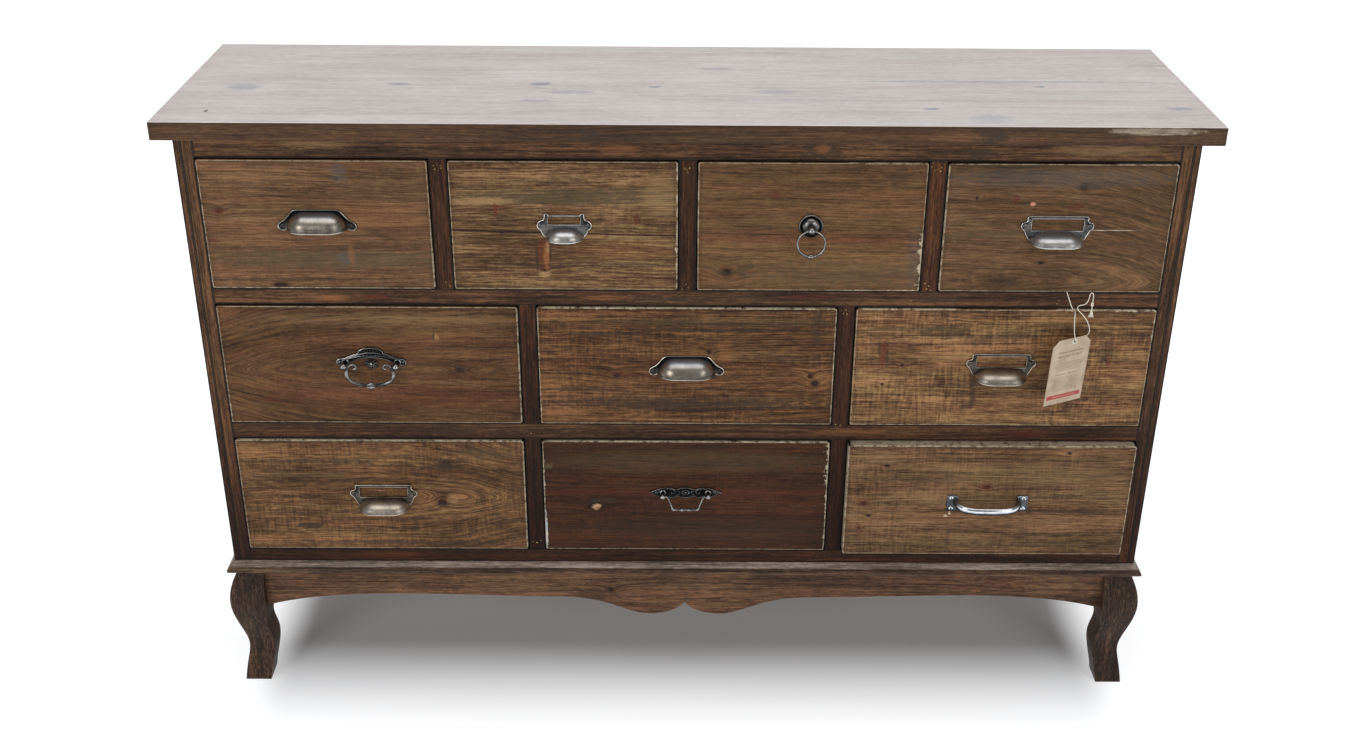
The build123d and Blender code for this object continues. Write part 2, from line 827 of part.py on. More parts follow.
def ring_pull(drawer):
    """A turned rosette with a drilled ball, and the ring that hangs through it."""
    place = drawer.plane()
    x, y, z = place.origin
    turning_axis = Axis((x, y, z), (0, -1, 0))
    neck_reach = (ring_ball_radius**2 - ring_neck_radius**2) ** 0.5
    inside = drawer_front_thickness + stud_inner_length
    with BuildPart() as rosette:
        with BuildSketch(Plane(origin=(x, y, z), x_dir=(1, 0, 0), z_dir=(0, 0, 1))):
            with BuildLine():
                Polyline(
                    (0, inside),
                    (stud_radius, inside),
                    (stud_radius, 0),
                    (rosette_radius, 0),
                    (rosette_radius, -rosette_rim),
                    (rosette_step_radius, -rosette_rim),
                )
                RadiusArc(
                    (rosette_step_radius, -rosette_rim),
                    (ring_neck_radius, -rosette_dome_height),
                    -rosette_step_radius,
                )
                Line(
                    (ring_neck_radius, -rosette_dome_height),
                    (ring_neck_radius, neck_reach - ring_ball_reach),
                )
                ThreePointArc(
                    (ring_neck_radius, neck_reach - ring_ball_reach),
                    (ring_ball_radius, -ring_ball_reach),
                    (0, -ring_ball_reach - ring_ball_radius),
                )
                Line((0, -ring_ball_reach - ring_ball_radius), (0, inside))
            make_face()
        revolve(axis=turning_axis)
        with BuildSketch(side_plane(x - ring_ball_radius)):
            with Locations((y - ring_ball_reach, z)):
                Circle(ring_hole_radius)
        extrude(amount=2 * ring_ball_radius, mode=Mode.SUBTRACT)
    save(f"drawer_{drawer.number}_pull", [rosette.part, nut(place, 0, 0)])

    ring_centre = (x, y - ring_ball_reach, z - ring_mean_radius)
    with BuildPart() as ring:
        with BuildSketch(Plane(origin=ring_centre, x_dir=(1, 0, 0), z_dir=(0, 0, 1))):
            with Locations((ring_mean_radius, 0)):
                Circle(ring_wire_radius)
        revolve(axis=Axis(ring_centre, (0, -1, 0)))
        with Locations((x, y - ring_ball_reach, z - 2 * ring_mean_radius)):
            Sphere(ring_bead_radius, rotation=(0, 90, 0))
    save(f"drawer_{drawer.number}_ring", [ring.part])
    return stud_holes(drawer, [(0, 0)])


def bail_posts(place, spacing, reach, ball_radius, pin_radius):
    """Two ball-headed posts, drilled across for the bail's pins, with studs behind."""
    x, y, z = place.origin
    inside = drawer_front_thickness + stud_inner_length
    neck_reach = (ball_radius**2 - bail_post_radius**2) ** 0.5
    with BuildPart() as posts:
        for x_post in (x - spacing / 2, x + spacing / 2):
            with BuildSketch(Plane(origin=(x_post, y, z), x_dir=(1, 0, 0), z_dir=(0, 0, 1))):
                with BuildLine():
                    Polyline(
                        (0, -reach - ball_radius),
                        (0, inside),
                        (stud_radius, inside),
                        (stud_radius, 0),
                        (bail_post_radius, 0),
                        (bail_post_radius, neck_reach - reach),
                    )
                    ThreePointArc(
                        (bail_post_radius, neck_reach - reach),
                        (ball_radius, -reach),
                        (0, -reach - ball_radius),
                    )
                make_face()
            revolve(axis=Axis((x_post, y, z), (0, -1, 0)))
            with BuildSketch(side_plane(x_post - ball_radius)):
                with Locations((y - reach, z)):
                    Circle(pin_radius + bail_pin_gap)
            extrude(amount=2 * ball_radius, mode=Mode.SUBTRACT)
    return posts.part


def swag_pull(drawer):
    """A crested back plate with a heavy shaped bail between two ball posts."""
    place = drawer.plane()
    half = swag_post_spacing / 2
    with BuildPart() as plate:
        with BuildSketch(place):
            Polygon(
                (-swag_plate_half + swag_ear_radius, -swag_ear_radius),
                (-swag_plate_half + swag_ear_radius, swag_ear_radius),
                (-swag_crest_half - swag_shoulder_rise, swag_shoulder_rise + swag_shoulder_slope),
                (-swag_crest_half, swag_crest_rise),
                (swag_crest_half, swag_crest_rise),
                (swag_crest_half + swag_shoulder_rise, swag_shoulder_rise + swag_shoulder_slope),
                (swag_plate_half - swag_ear_radius, swag_ear_radius),
                (swag_plate_half - swag_ear_radius, -swag_ear_radius),
                (swag_crest_half, swag_ear_radius),
                (-swag_crest_half, swag_ear_radius),
                align=None,
            )
            with Locations(
                (-swag_plate_half + swag_ear_radius, 0), (swag_plate_half - swag_ear_radius, 0)
            ):
                Circle(swag_ear_radius)
        extrude(amount=plate_thickness)
        add(bail_posts(
            place, swag_post_spacing, swag_post_reach, swag_ball_radius, swag_wire_radius
        ))
    nuts = [nut(place, -half, 0), nut(place, half, 0)]
    save(f"drawer_{drawer.number}_pull", [plate.part, *nuts])

    swing = place.offset(swag_post_reach)
    pin_end = half + swag_ball_radius - bail_pin_recess
    neck = half - swag_ball_radius - swag_neck
    with BuildPart() as bail:
        with BuildLine(swing) as route:
            FilletPolyline(
                (-pin_end, 0),
                (-neck, 0),
                (-swag_bail_half, -swag_bail_drop / 3),
                (-swag_bail_flat_half, -swag_bail_drop),
                (swag_bail_flat_half, -swag_bail_drop),
                (swag_bail_half, -swag_bail_drop / 3),
                (neck, 0),
                (pin_end, 0),
                radius=swag_bend_radius,
            )
        with BuildSketch(Plane(origin=route.line @ 0, z_dir=route.line % 0)):
            Circle(swag_wire_radius)
        sweep()
    save(f"drawer_{drawer.number}_bail", [bail.part])
    return stud_holes(drawer, [(-half, 0), (half, 0)])


def thin_bail_pull(drawer):
    """A long scalloped plate with a thin beaded bail."""
    place = drawer.plane()
    half = thin_post_spacing / 2
    waist = thin_plate_half_height - thin_plate_scallop
    shoulder = thin_plate_half_height - thin_plate_scallop / 2
    with BuildPart() as plate:
        with BuildSketch(place):
            with BuildLine():
                for sign in (-1, 1):
                    ThreePointArc(
                        (sign * thin_plate_half, 0),
                        (sign * half, shoulder),
                        (sign * half / 2, waist),
                    )
                    ThreePointArc(
                        (sign * thin_plate_half, 0),
                        (sign * half, -shoulder),
                        (sign * half / 2, -waist),
                    )
                for sign in (-1, 1):
                    ThreePointArc(
                        (-half / 2, sign * waist),
                        (0, sign * thin_plate_half_height),
                        (half / 2, sign * waist),
                    )
            make_face()
        extrude(amount=plate_thickness)
        add(bail_posts(
            place, thin_post_spacing, thin_post_reach, thin_ball_radius, thin_wire_radius
        ))
    nuts = [nut(place, -half, 0), nut(place, half, 0)]
    save(f"drawer_{drawer.number}_pull", [plate.part, *nuts])

    swing = place.offset(thin_post_reach)
    pin_end = half + thin_ball_radius - bail_pin_recess
    neck = half - thin_ball_radius - thin_neck
    with BuildPart() as bail:
        with BuildLine(swing) as route:
            FilletPolyline(
                (-pin_end, 0),
                (-neck, 0),
                (-thin_bail_flat_half, -thin_bail_drop),
                (thin_bail_flat_half, -thin_bail_drop),
                (neck, 0),
                (pin_end, 0),
                radius=thin_bend_radius,
            )
        with BuildSketch(Plane(origin=route.line @ 0, z_dir=route.line % 0)):
            Circle(thin_wire_radius)
        sweep()
        x, y, z = swing.origin
        for sign in (-1, 1):
            with Locations((x + sign * thin_bead_offset, y, z - thin_bail_drop)):
                Sphere(thin_bead_radius, rotation=(0, 90, 0))
    save(f"drawer_{drawer.number}_bail", [bail.part])
    return stud_holes(drawer, [(-half, 0), (half, 0)])


def bow_handle(drawer):
    """A bowed grip between two flat end plates with four screws."""
    place = drawer.plane()
    x, y, z = place.origin
    plate_x = handle_half_length - handle_plate_width / 2
    points = [
        (sx * plate_x, sz * handle_screw_rise) for sx in (-1, 1) for sz in (-1, 1)
    ]
    with BuildPart() as grip:
        with BuildSketch(place):
            with Locations((-plate_x, 0), (plate_x, 0)):
                Rectangle(handle_plate_width, handle_plate_height)
            with Locations(*points):
                Circle(screw_radius + screw_hole_gap, mode=Mode.SUBTRACT)
        extrude(amount=plate_thickness)
        bow_plane = Plane(
            origin=(x, y, z - handle_grip_height / 2), x_dir=(1, 0, 0), z_dir=(0, 0, 1)
        )
        with BuildSketch(bow_plane):
            with BuildLine():
                ThreePointArc(
                    (-handle_foot_outer, -handle_foot_depth),
                    (0, -handle_reach),
                    (handle_foot_outer, -handle_foot_depth),
                )
                ThreePointArc(
                    (-handle_foot_inner, -handle_foot_depth),
                    (0, -handle_reach + handle_grip_thickness),
                    (handle_foot_inner, -handle_foot_depth),
                )
                for sign in (-1, 1):
                    Line(
                        (sign * handle_foot_outer, -handle_foot_depth),
                        (sign * handle_foot_inner, -handle_foot_depth),
                    )
            make_face()
        extrude(amount=handle_grip_height)
    screws = [screw(place, px, pz, plate_thickness) for px, pz in points]
    save(f"drawer_{drawer.number}_pull", [grip.part, *screws])
    return screw_holes(drawer, points)


pull_makers = {
    1: plain_cup_pull,
    2: lambda drawer: label_cup_pull(drawer, small=True),
    3: ring_pull,
    4: label_cup_pull,
    5: swag_pull,
    6: plain_cup_pull,
    7: label_cup_pull,
    8: label_cup_pull,
    9: thin_bail_pull,
    10: bow_handle,
}
for drawer in drawers:
    holes = pull_makers[drawer.number](drawer)
    seams = [drawer.z_from + drawer_2_lower_board] if drawer.number == 2 else []
    save(f"drawer_{drawer.number}_front", drawer_front(drawer, holes, seams))
    save(f"drawer_{drawer.number}_box", drawer_box(drawer))

# The swing tag hangs in front of drawer 7
tagged = drawers[6]
hang = Plane(
    origin=(tagged.x_mid + tag_offset, tagged.y_front, tagged.z_to), x_dir=(1, 0, 0), z_dir=(0, -1, 0)
)
turn, tilt = radians(tag_turn), radians(tag_tilt)
card_place = Plane(
    origin=hang.from_local_coords(tag_hang_point),
    x_dir=(cos(turn), sin(turn), 0),
    z_dir=(sin(turn) * cos(tilt), -cos(turn) * cos(tilt), -sin(tilt)),
)
x_card_left = -tag_width / 2 - tag_hole_offset
x_card_right = x_card_left + tag_width
with BuildPart() as tag_card:
    with BuildSketch(card_place):
        Polygon(
            (x_card_left, tag_hole_drop - tag_length),
            (x_card_right, tag_hole_drop - tag_length),
            (x_card_right, tag_hole_drop - tag_corner_cut),
            (x_card_right - tag_corner_cut, tag_hole_drop),
            (x_card_left + tag_corner_cut, tag_hole_drop),
            (x_card_left, tag_hole_drop - tag_corner_cut),
            align=None,
        )
        Circle(tag_barrel_radius, mode=Mode.SUBTRACT)
    extrude(amount=tag_thickness / 2, both=True)
with BuildPart() as tag_eyelet:
    with BuildSketch(card_place):
        Circle(tag_barrel_radius)
    extrude(amount=tag_thickness / 2, both=True)
    for side in (-1, 1):
        with BuildSketch(card_place.offset(side * tag_thickness / 2)):
            Circle(tag_eyelet_radius)
        extrude(amount=side * tag_eyelet_flange)
    with BuildSketch(card_place):
        Circle(tag_bore_radius)
    extrude(amount=tag_thickness, both=True, mode=Mode.SUBTRACT)
save("tag_card", [tag_card.part, tag_eyelet.part])


def string_strand(points):
    """A tube along straight runs, with an arc at each corner as large as its runs allow."""
    path = [hang.from_local_coords(point) for point in points]
    runs = [after - before for before, after in zip(path[:-1], path[1:])]
    radii = []
    for before, after in zip(runs[:-1], runs[1:]):
        half_turn = radians(before.get_angle(after)) / 2
        radii.append(string_bend_share * min(before.length, after.length) / tan(half_turn))
    with BuildPart() as strand:
        with BuildLine() as route:
            FilletPolyline(*path, radius=radii)
        with BuildSketch(Plane(origin=route.line @ 0, z_dir=route.line % 0)):
            Circle(string_diameter / 2)
        sweep()
    length = sum(edge.length for edge in route.edges())
    full_volume = pi * string_diameter**2 / 4 * length
    print(
        f"string {length:.1f} long, volume {strand.part.volume / full_volume:.3f} of its"
        " section times length, radii",
        [round(radius, 1) for radius in radii],
    )
    return strand.part


save("tag_string", [string_strand(string_points), string_strand(string_end_points)])

print(f"{len(written)} nodes, overall height {overall_height:.1f}")
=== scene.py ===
"""Finish, pulls, swing tag and studio for a chest of ten drawers. Everything is in metres.

The front faces -Y, +Z is up, and the drawers are numbered 1 to 10 from the top left.
"""
from math import cos, pi, radians, sin, tau

import bmesh
import bpy
from mathutils import Matrix, Vector


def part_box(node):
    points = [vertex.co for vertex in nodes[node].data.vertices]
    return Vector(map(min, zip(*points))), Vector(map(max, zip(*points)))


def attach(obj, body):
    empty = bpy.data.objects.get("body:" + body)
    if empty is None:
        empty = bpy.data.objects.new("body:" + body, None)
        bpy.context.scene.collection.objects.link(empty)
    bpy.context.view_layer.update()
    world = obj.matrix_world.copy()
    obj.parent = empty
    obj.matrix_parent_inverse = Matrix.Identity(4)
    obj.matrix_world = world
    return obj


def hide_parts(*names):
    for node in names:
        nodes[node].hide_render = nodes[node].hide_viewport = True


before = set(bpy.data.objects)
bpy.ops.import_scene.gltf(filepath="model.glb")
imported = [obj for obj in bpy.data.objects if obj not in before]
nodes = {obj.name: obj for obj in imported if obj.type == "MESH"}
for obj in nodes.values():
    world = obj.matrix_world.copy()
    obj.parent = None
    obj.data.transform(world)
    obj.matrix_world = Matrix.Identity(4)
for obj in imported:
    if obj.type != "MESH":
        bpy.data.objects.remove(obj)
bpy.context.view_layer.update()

MM = 0.001
IMAGE_WIDTH = 1367
FOCAL_PIXELS = 1559.3
SENSOR_WIDTH = 36.0
CAMERA_PLACE = (-0.0137, -1.8172, 1.3224)
SEED_STRIDE = 731.7
BOTH_SIDES = (-1, 1)


def tone(red, green, blue):
    """A colour given as it looks in even light, 0 to 255, as linear values."""
    linear = []
    for channel in (red, green, blue):
        c = channel / 255
        linear.append(c / 12.92 if c <= 0.04045 else ((c + 0.055) / 1.055) ** 2.4)
    return (*linear, 1.0)


class Value:
    """A number in a shader's nodes. What is worked out from it becomes further nodes."""

    def __init__(self, shader, socket):
        self.shader, self.socket = shader, socket

    def math(self, operation, *others, clamp=False):
        node = self.shader.node("Math", (self, *others), operation=operation, use_clamp=clamp)
        return Value(self.shader, node.outputs[0])

    def __add__(self, other):
        return self.math("ADD", other)

    def __sub__(self, other):
        return self.math("SUBTRACT", other)

    def __rsub__(self, other):
        return self.line(-1, other)

    def __mul__(self, other):
        return self.math("MULTIPLY", other)

    def __truediv__(self, other):
        return self * (1 / other)

    def __abs__(self):
        return self.math("ABSOLUTE")

    __radd__, __rmul__ = __add__, __mul__

    def line(self, slope, start):
        """The value times a slope, from a start."""
        return self.math("MULTIPLY_ADD", slope, start)

    def most(self, other):
        return self.math("MAXIMUM", other)

    def least(self, other):
        return self.math("MINIMUM", other)

    def rise(self, low, high):
        """0 below low and 1 above high, with a smooth step between; low may be the larger."""
        inputs = {"Value": self, "From Min": low, "From Max": high}
        node = self.shader.node("MapRange", inputs, interpolation_type="SMOOTHSTEP")
        return Value(self.shader, node.outputs["Result"])


def squared_away(u, v, x, z, reach_x, reach_z):
    """The squared distance of (u, v) from (x, z), which is 1 at the two reaches."""
    across, up = (u - x) / reach_x, (v - z) / reach_z
    return across.line(across, up * up)


class Shader:
    """One procedural material; its methods add nodes."""

    def __init__(self, name):
        self.material = bpy.data.materials.new(name)
        self.material.use_nodes = True
        self.tree = self.material.node_tree
        self.bsdf = self.tree.nodes["Principled BSDF"]
        coordinates = self.node("TexCoord")
        self.point, self.normal = coordinates.outputs["Object"], coordinates.outputs["Normal"]

    def put(self, socket, value):
        value = getattr(value, "socket", value)
        if isinstance(value, bpy.types.NodeSocket):
            self.tree.links.new(value, socket)
        else:
            socket.default_value = value

    def node(self, kind, inputs=(), **settings):
        """A new node with its settings, and its inputs by place or by name."""
        node = self.tree.nodes.new("ShaderNode" + kind)
        for name, setting in settings.items():
            setattr(node, name, setting)
        for key, value in inputs.items() if isinstance(inputs, dict) else enumerate(inputs):
            self.put(node.inputs[key], value)
        return node

    def finish(self, **values):
        """Sets the shader's sockets, with underscores for spaces, and gives the material."""
        for name, value in values.items():
            self.put(self.bsdf.inputs[name.replace("_", " ")], value)
        return self.material

    def split(self, vector):
        return [Value(self, socket) for socket in self.node("SeparateXYZ", (vector,)).outputs]

    def millimetres(self):
        """The point's x, y and z on the object."""
        scaled = self.node("VectorMath", {0: self.point, "Scale": 1 / MM}, operation="SCALE")
        return self.split(scaled.outputs[0])

    def noise(self, x, y, z, detail=2.0, roughness=0.5):
        """Noise of one wave per unit, from 0 to 1 around 0.5."""
        vector = self.node("CombineXYZ", (x, y, z)).outputs[0]
        inputs = {"Vector": vector, "Scale": 1.0, "Detail": detail, "Roughness": roughness}
        return Value(self, self.node("TexNoise", inputs).outputs["Fac"])

    def ramp(self, value, *stops, gain=(1, 1, 1)):
        """Colours, each given as tone takes it, after the places where they are reached."""
        node = self.node("ValToRGB", (value,))
        elements = node.color_ramp.elements
        while len(elements) < len(stops):
            elements.new(0.5)
        for element, (position, colour) in zip(elements, stops):
            element.position = position
            element.color = [part * share for part, share in zip(tone(*colour), (*gain, 1))]
        return node.outputs["Color"]

    def mix(self, factor, a, b, blend="MIX"):
        node = self.node("Mix", {"Factor": factor}, data_type="RGBA", blend_type=blend)
        colours = [socket for socket in node.inputs if socket.type == "RGBA"]
        self.put(colours[0], a)
        self.put(colours[1], b)
        return next(socket for socket in node.outputs if socket.type == "RGBA")

    def bump(self, height, depth):
        """A bump whose height of 1 stands depth metres proud."""
        return self.node("Bump", {"Strength": 1.0, "Distance": depth, "Height": height}).outputs["Normal"]


def link(name, data):
    """A new object in the scene."""
    thing = bpy.data.objects.new(name, data)
    bpy.context.scene.collection.objects.link(thing)
    return thing


def add_piece(name, data, material, body, slot, *replaced):
    """A new piece of the part, on its body, with the nodes it replaces hidden."""
    data.materials.append(material)
    piece = link(name, data)
    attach(piece, body)
    if replaced:
        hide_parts(*replaced)
    return piece


GRAIN_ORDER = {"X": (0, 2, 1), "Y": (1, 0, 2), "Z": (2, 0, 1)}
PALE_EDGE = tone(158, 134, 106)
BARE_WOOD = tone(206, 192, 168)
GRIME = tone(24, 17, 13)
GAP_SHADE = tone(12, 9, 8)
KNOT_RING, KNOT_CORE = tone(70, 42, 27), tone(34, 19, 13)
CRACK = tone(36, 17, 12)
OLIVE = tone(84, 74, 52)
SOOT = tone(56, 44, 34)
ORANGE = tone(138, 88, 52)
RED = tone(92, 42, 30)
GREY = tone(82, 80, 78)
STRAW = tone(164, 132, 92)
LIMED = tone(176, 162, 138)
BLUISH = tone(150, 156, 172)
PINKISH = tone(214, 196, 190)


def wood_material(
    name, dark, middle, light, gain=(1, 1, 1), grain="X", centre=(0, 0, 0), size=None, seed=0, contrast=1.0,
    rings=9.0, ring_strength=0.22, bend=10.0, arch=None, knots=(), marks=(), cracks=(), saw=0.0, edge=0.0,
    worn_sides=(), roughness=0.6, coat=0.0, shine=0.15, dark_behind=None, upper=None, upper_marks=(),
    darker_below=None, edge_grime=0.28, grime_reach=(7, 0.6), spread=(), corner=None, behind_tint=GAP_SHADE,
):
    """Boards with growth rings, fibre, knots, stains, saw marks and wear at the edges, in millimetres; they carry
    painted shade along their edges, in the gaps and towards the bottom, a painted highlight along the arrises and a
    painted reflection on top.
    """
    shader = Shader(name)
    axes = shader.millimetres()
    order = GRAIN_ORDER[grain]
    along, across, deep = [axes[i] - centre[i] / MM for i in order]
    shift = seed * SEED_STRIDE

    def waves(v, length, width, detail=2.0, roughness=0.5, *, offset):
        """Noise drawn out along the grain, around 0; length and width are those of one wave."""
        return shader.noise(
            along.line(1 / length, (shift + offset * 17) / length), v.line(1 / width, offset + seed),
            deep / width, detail, roughness) - 0.5

    # The grain's lines, bent by slow noise, an arch and the knots
    field = (across + waves(across, 620, 120, offset=11) * (bend * 2.4)
             + waves(across, 150, 34, offset=53) * (bend * 0.5))
    if arch:
        x, z, slope, blunt, reach = arch
        beside = across - z
        bowl = beside.line(beside, blunt ** 2).math("SQRT")
        onward = ((along - x) / reach).math("TANH")
        field = (bowl + onward * (slope * reach) + waves(across, 90, 22, offset=5) * 8
                 + waves(across, 320, 60, offset=6) * 16)
    ragged = waves(across, 7, 5, 3.0, 0.6, offset=3)
    knot_core = knot_ring = 0.0
    for x, z, radius, stretch in knots:
        away = squared_away(along, across, x, z, radius * stretch, radius)
        field = field + (away * -0.10).math("EXPONENT") * (radius * 1.8)
        rough = ragged.line(2.2, away)
        knot_core = rough.rise(1.3, 0.6).most(knot_core)
        knot_ring = rough.rise(4.4, 1.0).most(knot_ring)

    broad = waves(field, 420, 12, 3.0, 0.55, offset=1)
    streaks = waves(field, 110, 2.0, 4.0, 0.7, offset=2)
    fibre = waves(field, 20, 1.3, 3.0, 0.75, offset=7)
    cloud = waves(across, 130, 45, 3.0, 0.6, offset=83)
    mottle = waves(across, 9, 5, 4.0, 0.75, offset=97)
    phase = waves(field, 900, 30, offset=31).line(1.6, field / rings).math("FRACT")
    late = phase.rise(0.35, 0.9) * phase.rise(1.0, 0.94) * waves(field, 240, 25, offset=37).rise(-0.12, 0.14)
    saw_line = shader.noise(along.line(1 / 3.4, shift), across.line(1 / 30, seed), 0.0, 2.0, 0.6) - 0.5
    saw_marks = saw_line * waves(across, 90, 50, offset=29).rise(-0.14, 0.1)

    c = contrast * 1.35
    lightness = (broad.line(0.8 * c, 0.5) + streaks * (1.4 * c) + fibre * (1.5 * c) + cloud * (0.9 * c)
                 + mottle * (0.8 * c) + late * -ring_strength + saw_marks * saw)
    colour = shader.ramp(lightness, (0.0, dark), (0.5, middle), (1.0, light), gain=gain)
    hue = waves(field, 400, 16, 2.0, offset=61).rise(-0.16, 0.16)
    colour = shader.mix(0.5, colour, shader.mix(hue, tone(236, 250, 226), tone(255, 240, 232)), "MULTIPLY")

    if knots:
        colour = shader.mix(knot_ring * 0.62, colour, KNOT_RING)
        colour = shader.mix(knot_core * 0.9, colour, KNOT_CORE)

    def stained(colour, u, v, marks, streaky, mottled, cover=1.0, most=1.0):
        """A colour with marks of (x, z, reach, reach, tint, strength), their outlines broken."""
        broken = streaks * streaky + mottle * mottled
        for x, z, reach_x, reach_z, tint, strength in marks:
            away = squared_away(u, v, x, z, reach_x, reach_z) + broken
            colour = shader.mix(away.rise(1.5, 0.2) * cover * min(1, strength * most), colour, tint)
        return colour

    patchy = fibre.math("MULTIPLY_ADD", 3.0, streaks.line(2.6, 1.0), clamp=True)
    colour = stained(colour, along, across, marks, 2.6, 4.0, patchy, 1.3)
    for x_from, x_to, z, slope, width, strength in cracks:
        half = (x_to - x_from) / 2
        centred = along - (x_from + x_to) / 2
        beside = across - z + centred * -slope + waves(across, 40, 30, offset=9) * 3
        shown = abs(beside).rise(width, width * 0.3) * abs(centred).rise(half, half - 12)
        colour = shader.mix(shown * strength, colour, CRACK)

    # Edges, worked out from the board's own faces: painted shade along them, a pale line on the arrises that is both
    # wear and a painted highlight, bare wood where the finish has gone, and at rounded corners a pale paint line with
    # painted gap shade beyond
    if size is not None:
        half = [size[i] / MM / 2 for i in order]
        nearest = [abs(v) for v in (along, across, deep)]
        for side in spread:
            nearest[1] = nearest[1].least(abs(abs(across) - side))
        gaps = [h - v for h, v in zip(half, nearest)]
        second = gaps[0].least(gaps[1]).most(gaps[0].most(gaps[1]).least(gaps[2]))
        chips = shader.noise(along / 6, across / 6, deep / 6, 4.0, 0.7)
        bare = 0.0
        for side_x, side_z, start, end, extent in worn_sides:
            inwards, position = (along.line(-side_x, half[0]), across) if side_x else (
                across.line(-side_z, half[1]), along)
            patch = position.rise(start - 6, start + 6) * position.rise(end + 6, end - 6)
            depth = chips.rise(0.36, 0.74).line(extent, mottle * (extent * 2))
            bare = (patch * (inwards - depth).rise(0.3, -0.4)).most(bare)
        # The pale line on the arrises: wear and a painted highlight
        rubbed = (chips.rise(0.28, 0.62) * edge - second).rise(-0.3, 0.35)
        # Painted shade along the edges; strongest on the frame, beside the drawer gaps
        colour = shader.mix(second.rise(*grime_reach) * edge_grime, colour, GRIME)
        colour = shader.mix(rubbed * 0.62, colour, PALE_EDGE)
        if worn_sides:
            colour = shader.mix(bare * 0.65, colour, BARE_WOOD)
        if corner:
            beyond = [(corner - gap).most(0.0) for gap in gaps[:2]]
            inside = corner - beyond[0].line(beyond[0], beyond[1] * beyond[1]).math("SQRT")
            line = abs(inside - 0.95).rise(0.85, 0.25)
            paint = mottle.line(1.2, chips).rise(0.34, 0.56)
            colour = shader.mix(line * paint.line(0.5, 0.18), colour, LIMED)
            # Painted gap shade outside the rounded corners
            colour = shader.mix(inside.rise(0.1, -0.3), colour, GAP_SHADE)
    # Painted shade: faces behind the given depth take a dark tint, the shade of the gaps round the part
    if dark_behind is not None:
        back = dark_behind / MM
        colour = shader.mix(axes[1].rise(back + 0.3, back + 1.6) * 0.93, colour, behind_tint)
    # A painted reflection of the bright room, pale and broken by its own marks, on faces above the given level
    if upper:
        level, *tints = upper
        faded = stained(shader.ramp(lightness, *zip((0.0, 0.5, 1.0), tints)), *axes[:2], upper_marks, 2.5, 3.0)
        colour = shader.mix(axes[2].rise(level - 1.2, level - 0.25), colour, faded)
    # Painted shade, darker towards the bottom
    if darker_below:
        low, high, least = darker_below
        colour = shader.mix(axes[2].rise(high, low), colour, shader.mix(1.0, colour, least, "MULTIPLY"))
    relief = fibre * 0.7 + late * 0.3 + streaks * 0.8 + saw_marks * (saw * 2.0)
    return shader.finish(
        Base_Color=colour, Roughness=roughness, Specular_IOR_Level=shine, Coat_Weight=coat,
        Coat_Roughness=0.3, Normal=shader.bump(relief, 0.0003))


def assign(node_name, material):
    """Gives a node of the frame its material."""
    for material_slot in nodes[node_name].material_slots:
        material_slot.material = material


def middle_and_size(node_name):
    low, high = (Vector(corner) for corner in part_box(node_name))
    return (low + high) / 2, high - low


def board(node_name, *tones, name=None, edged=True, **look):
    """Gives a node its own wood, worked out from its box; edged finds the node's edges."""
    centre, size = middle_and_size(node_name)
    look = {"centre": centre, "size": size if edged else None, **look}
    assign(node_name, wood_material(name or f"{node_name}_wood", *tones, **look))


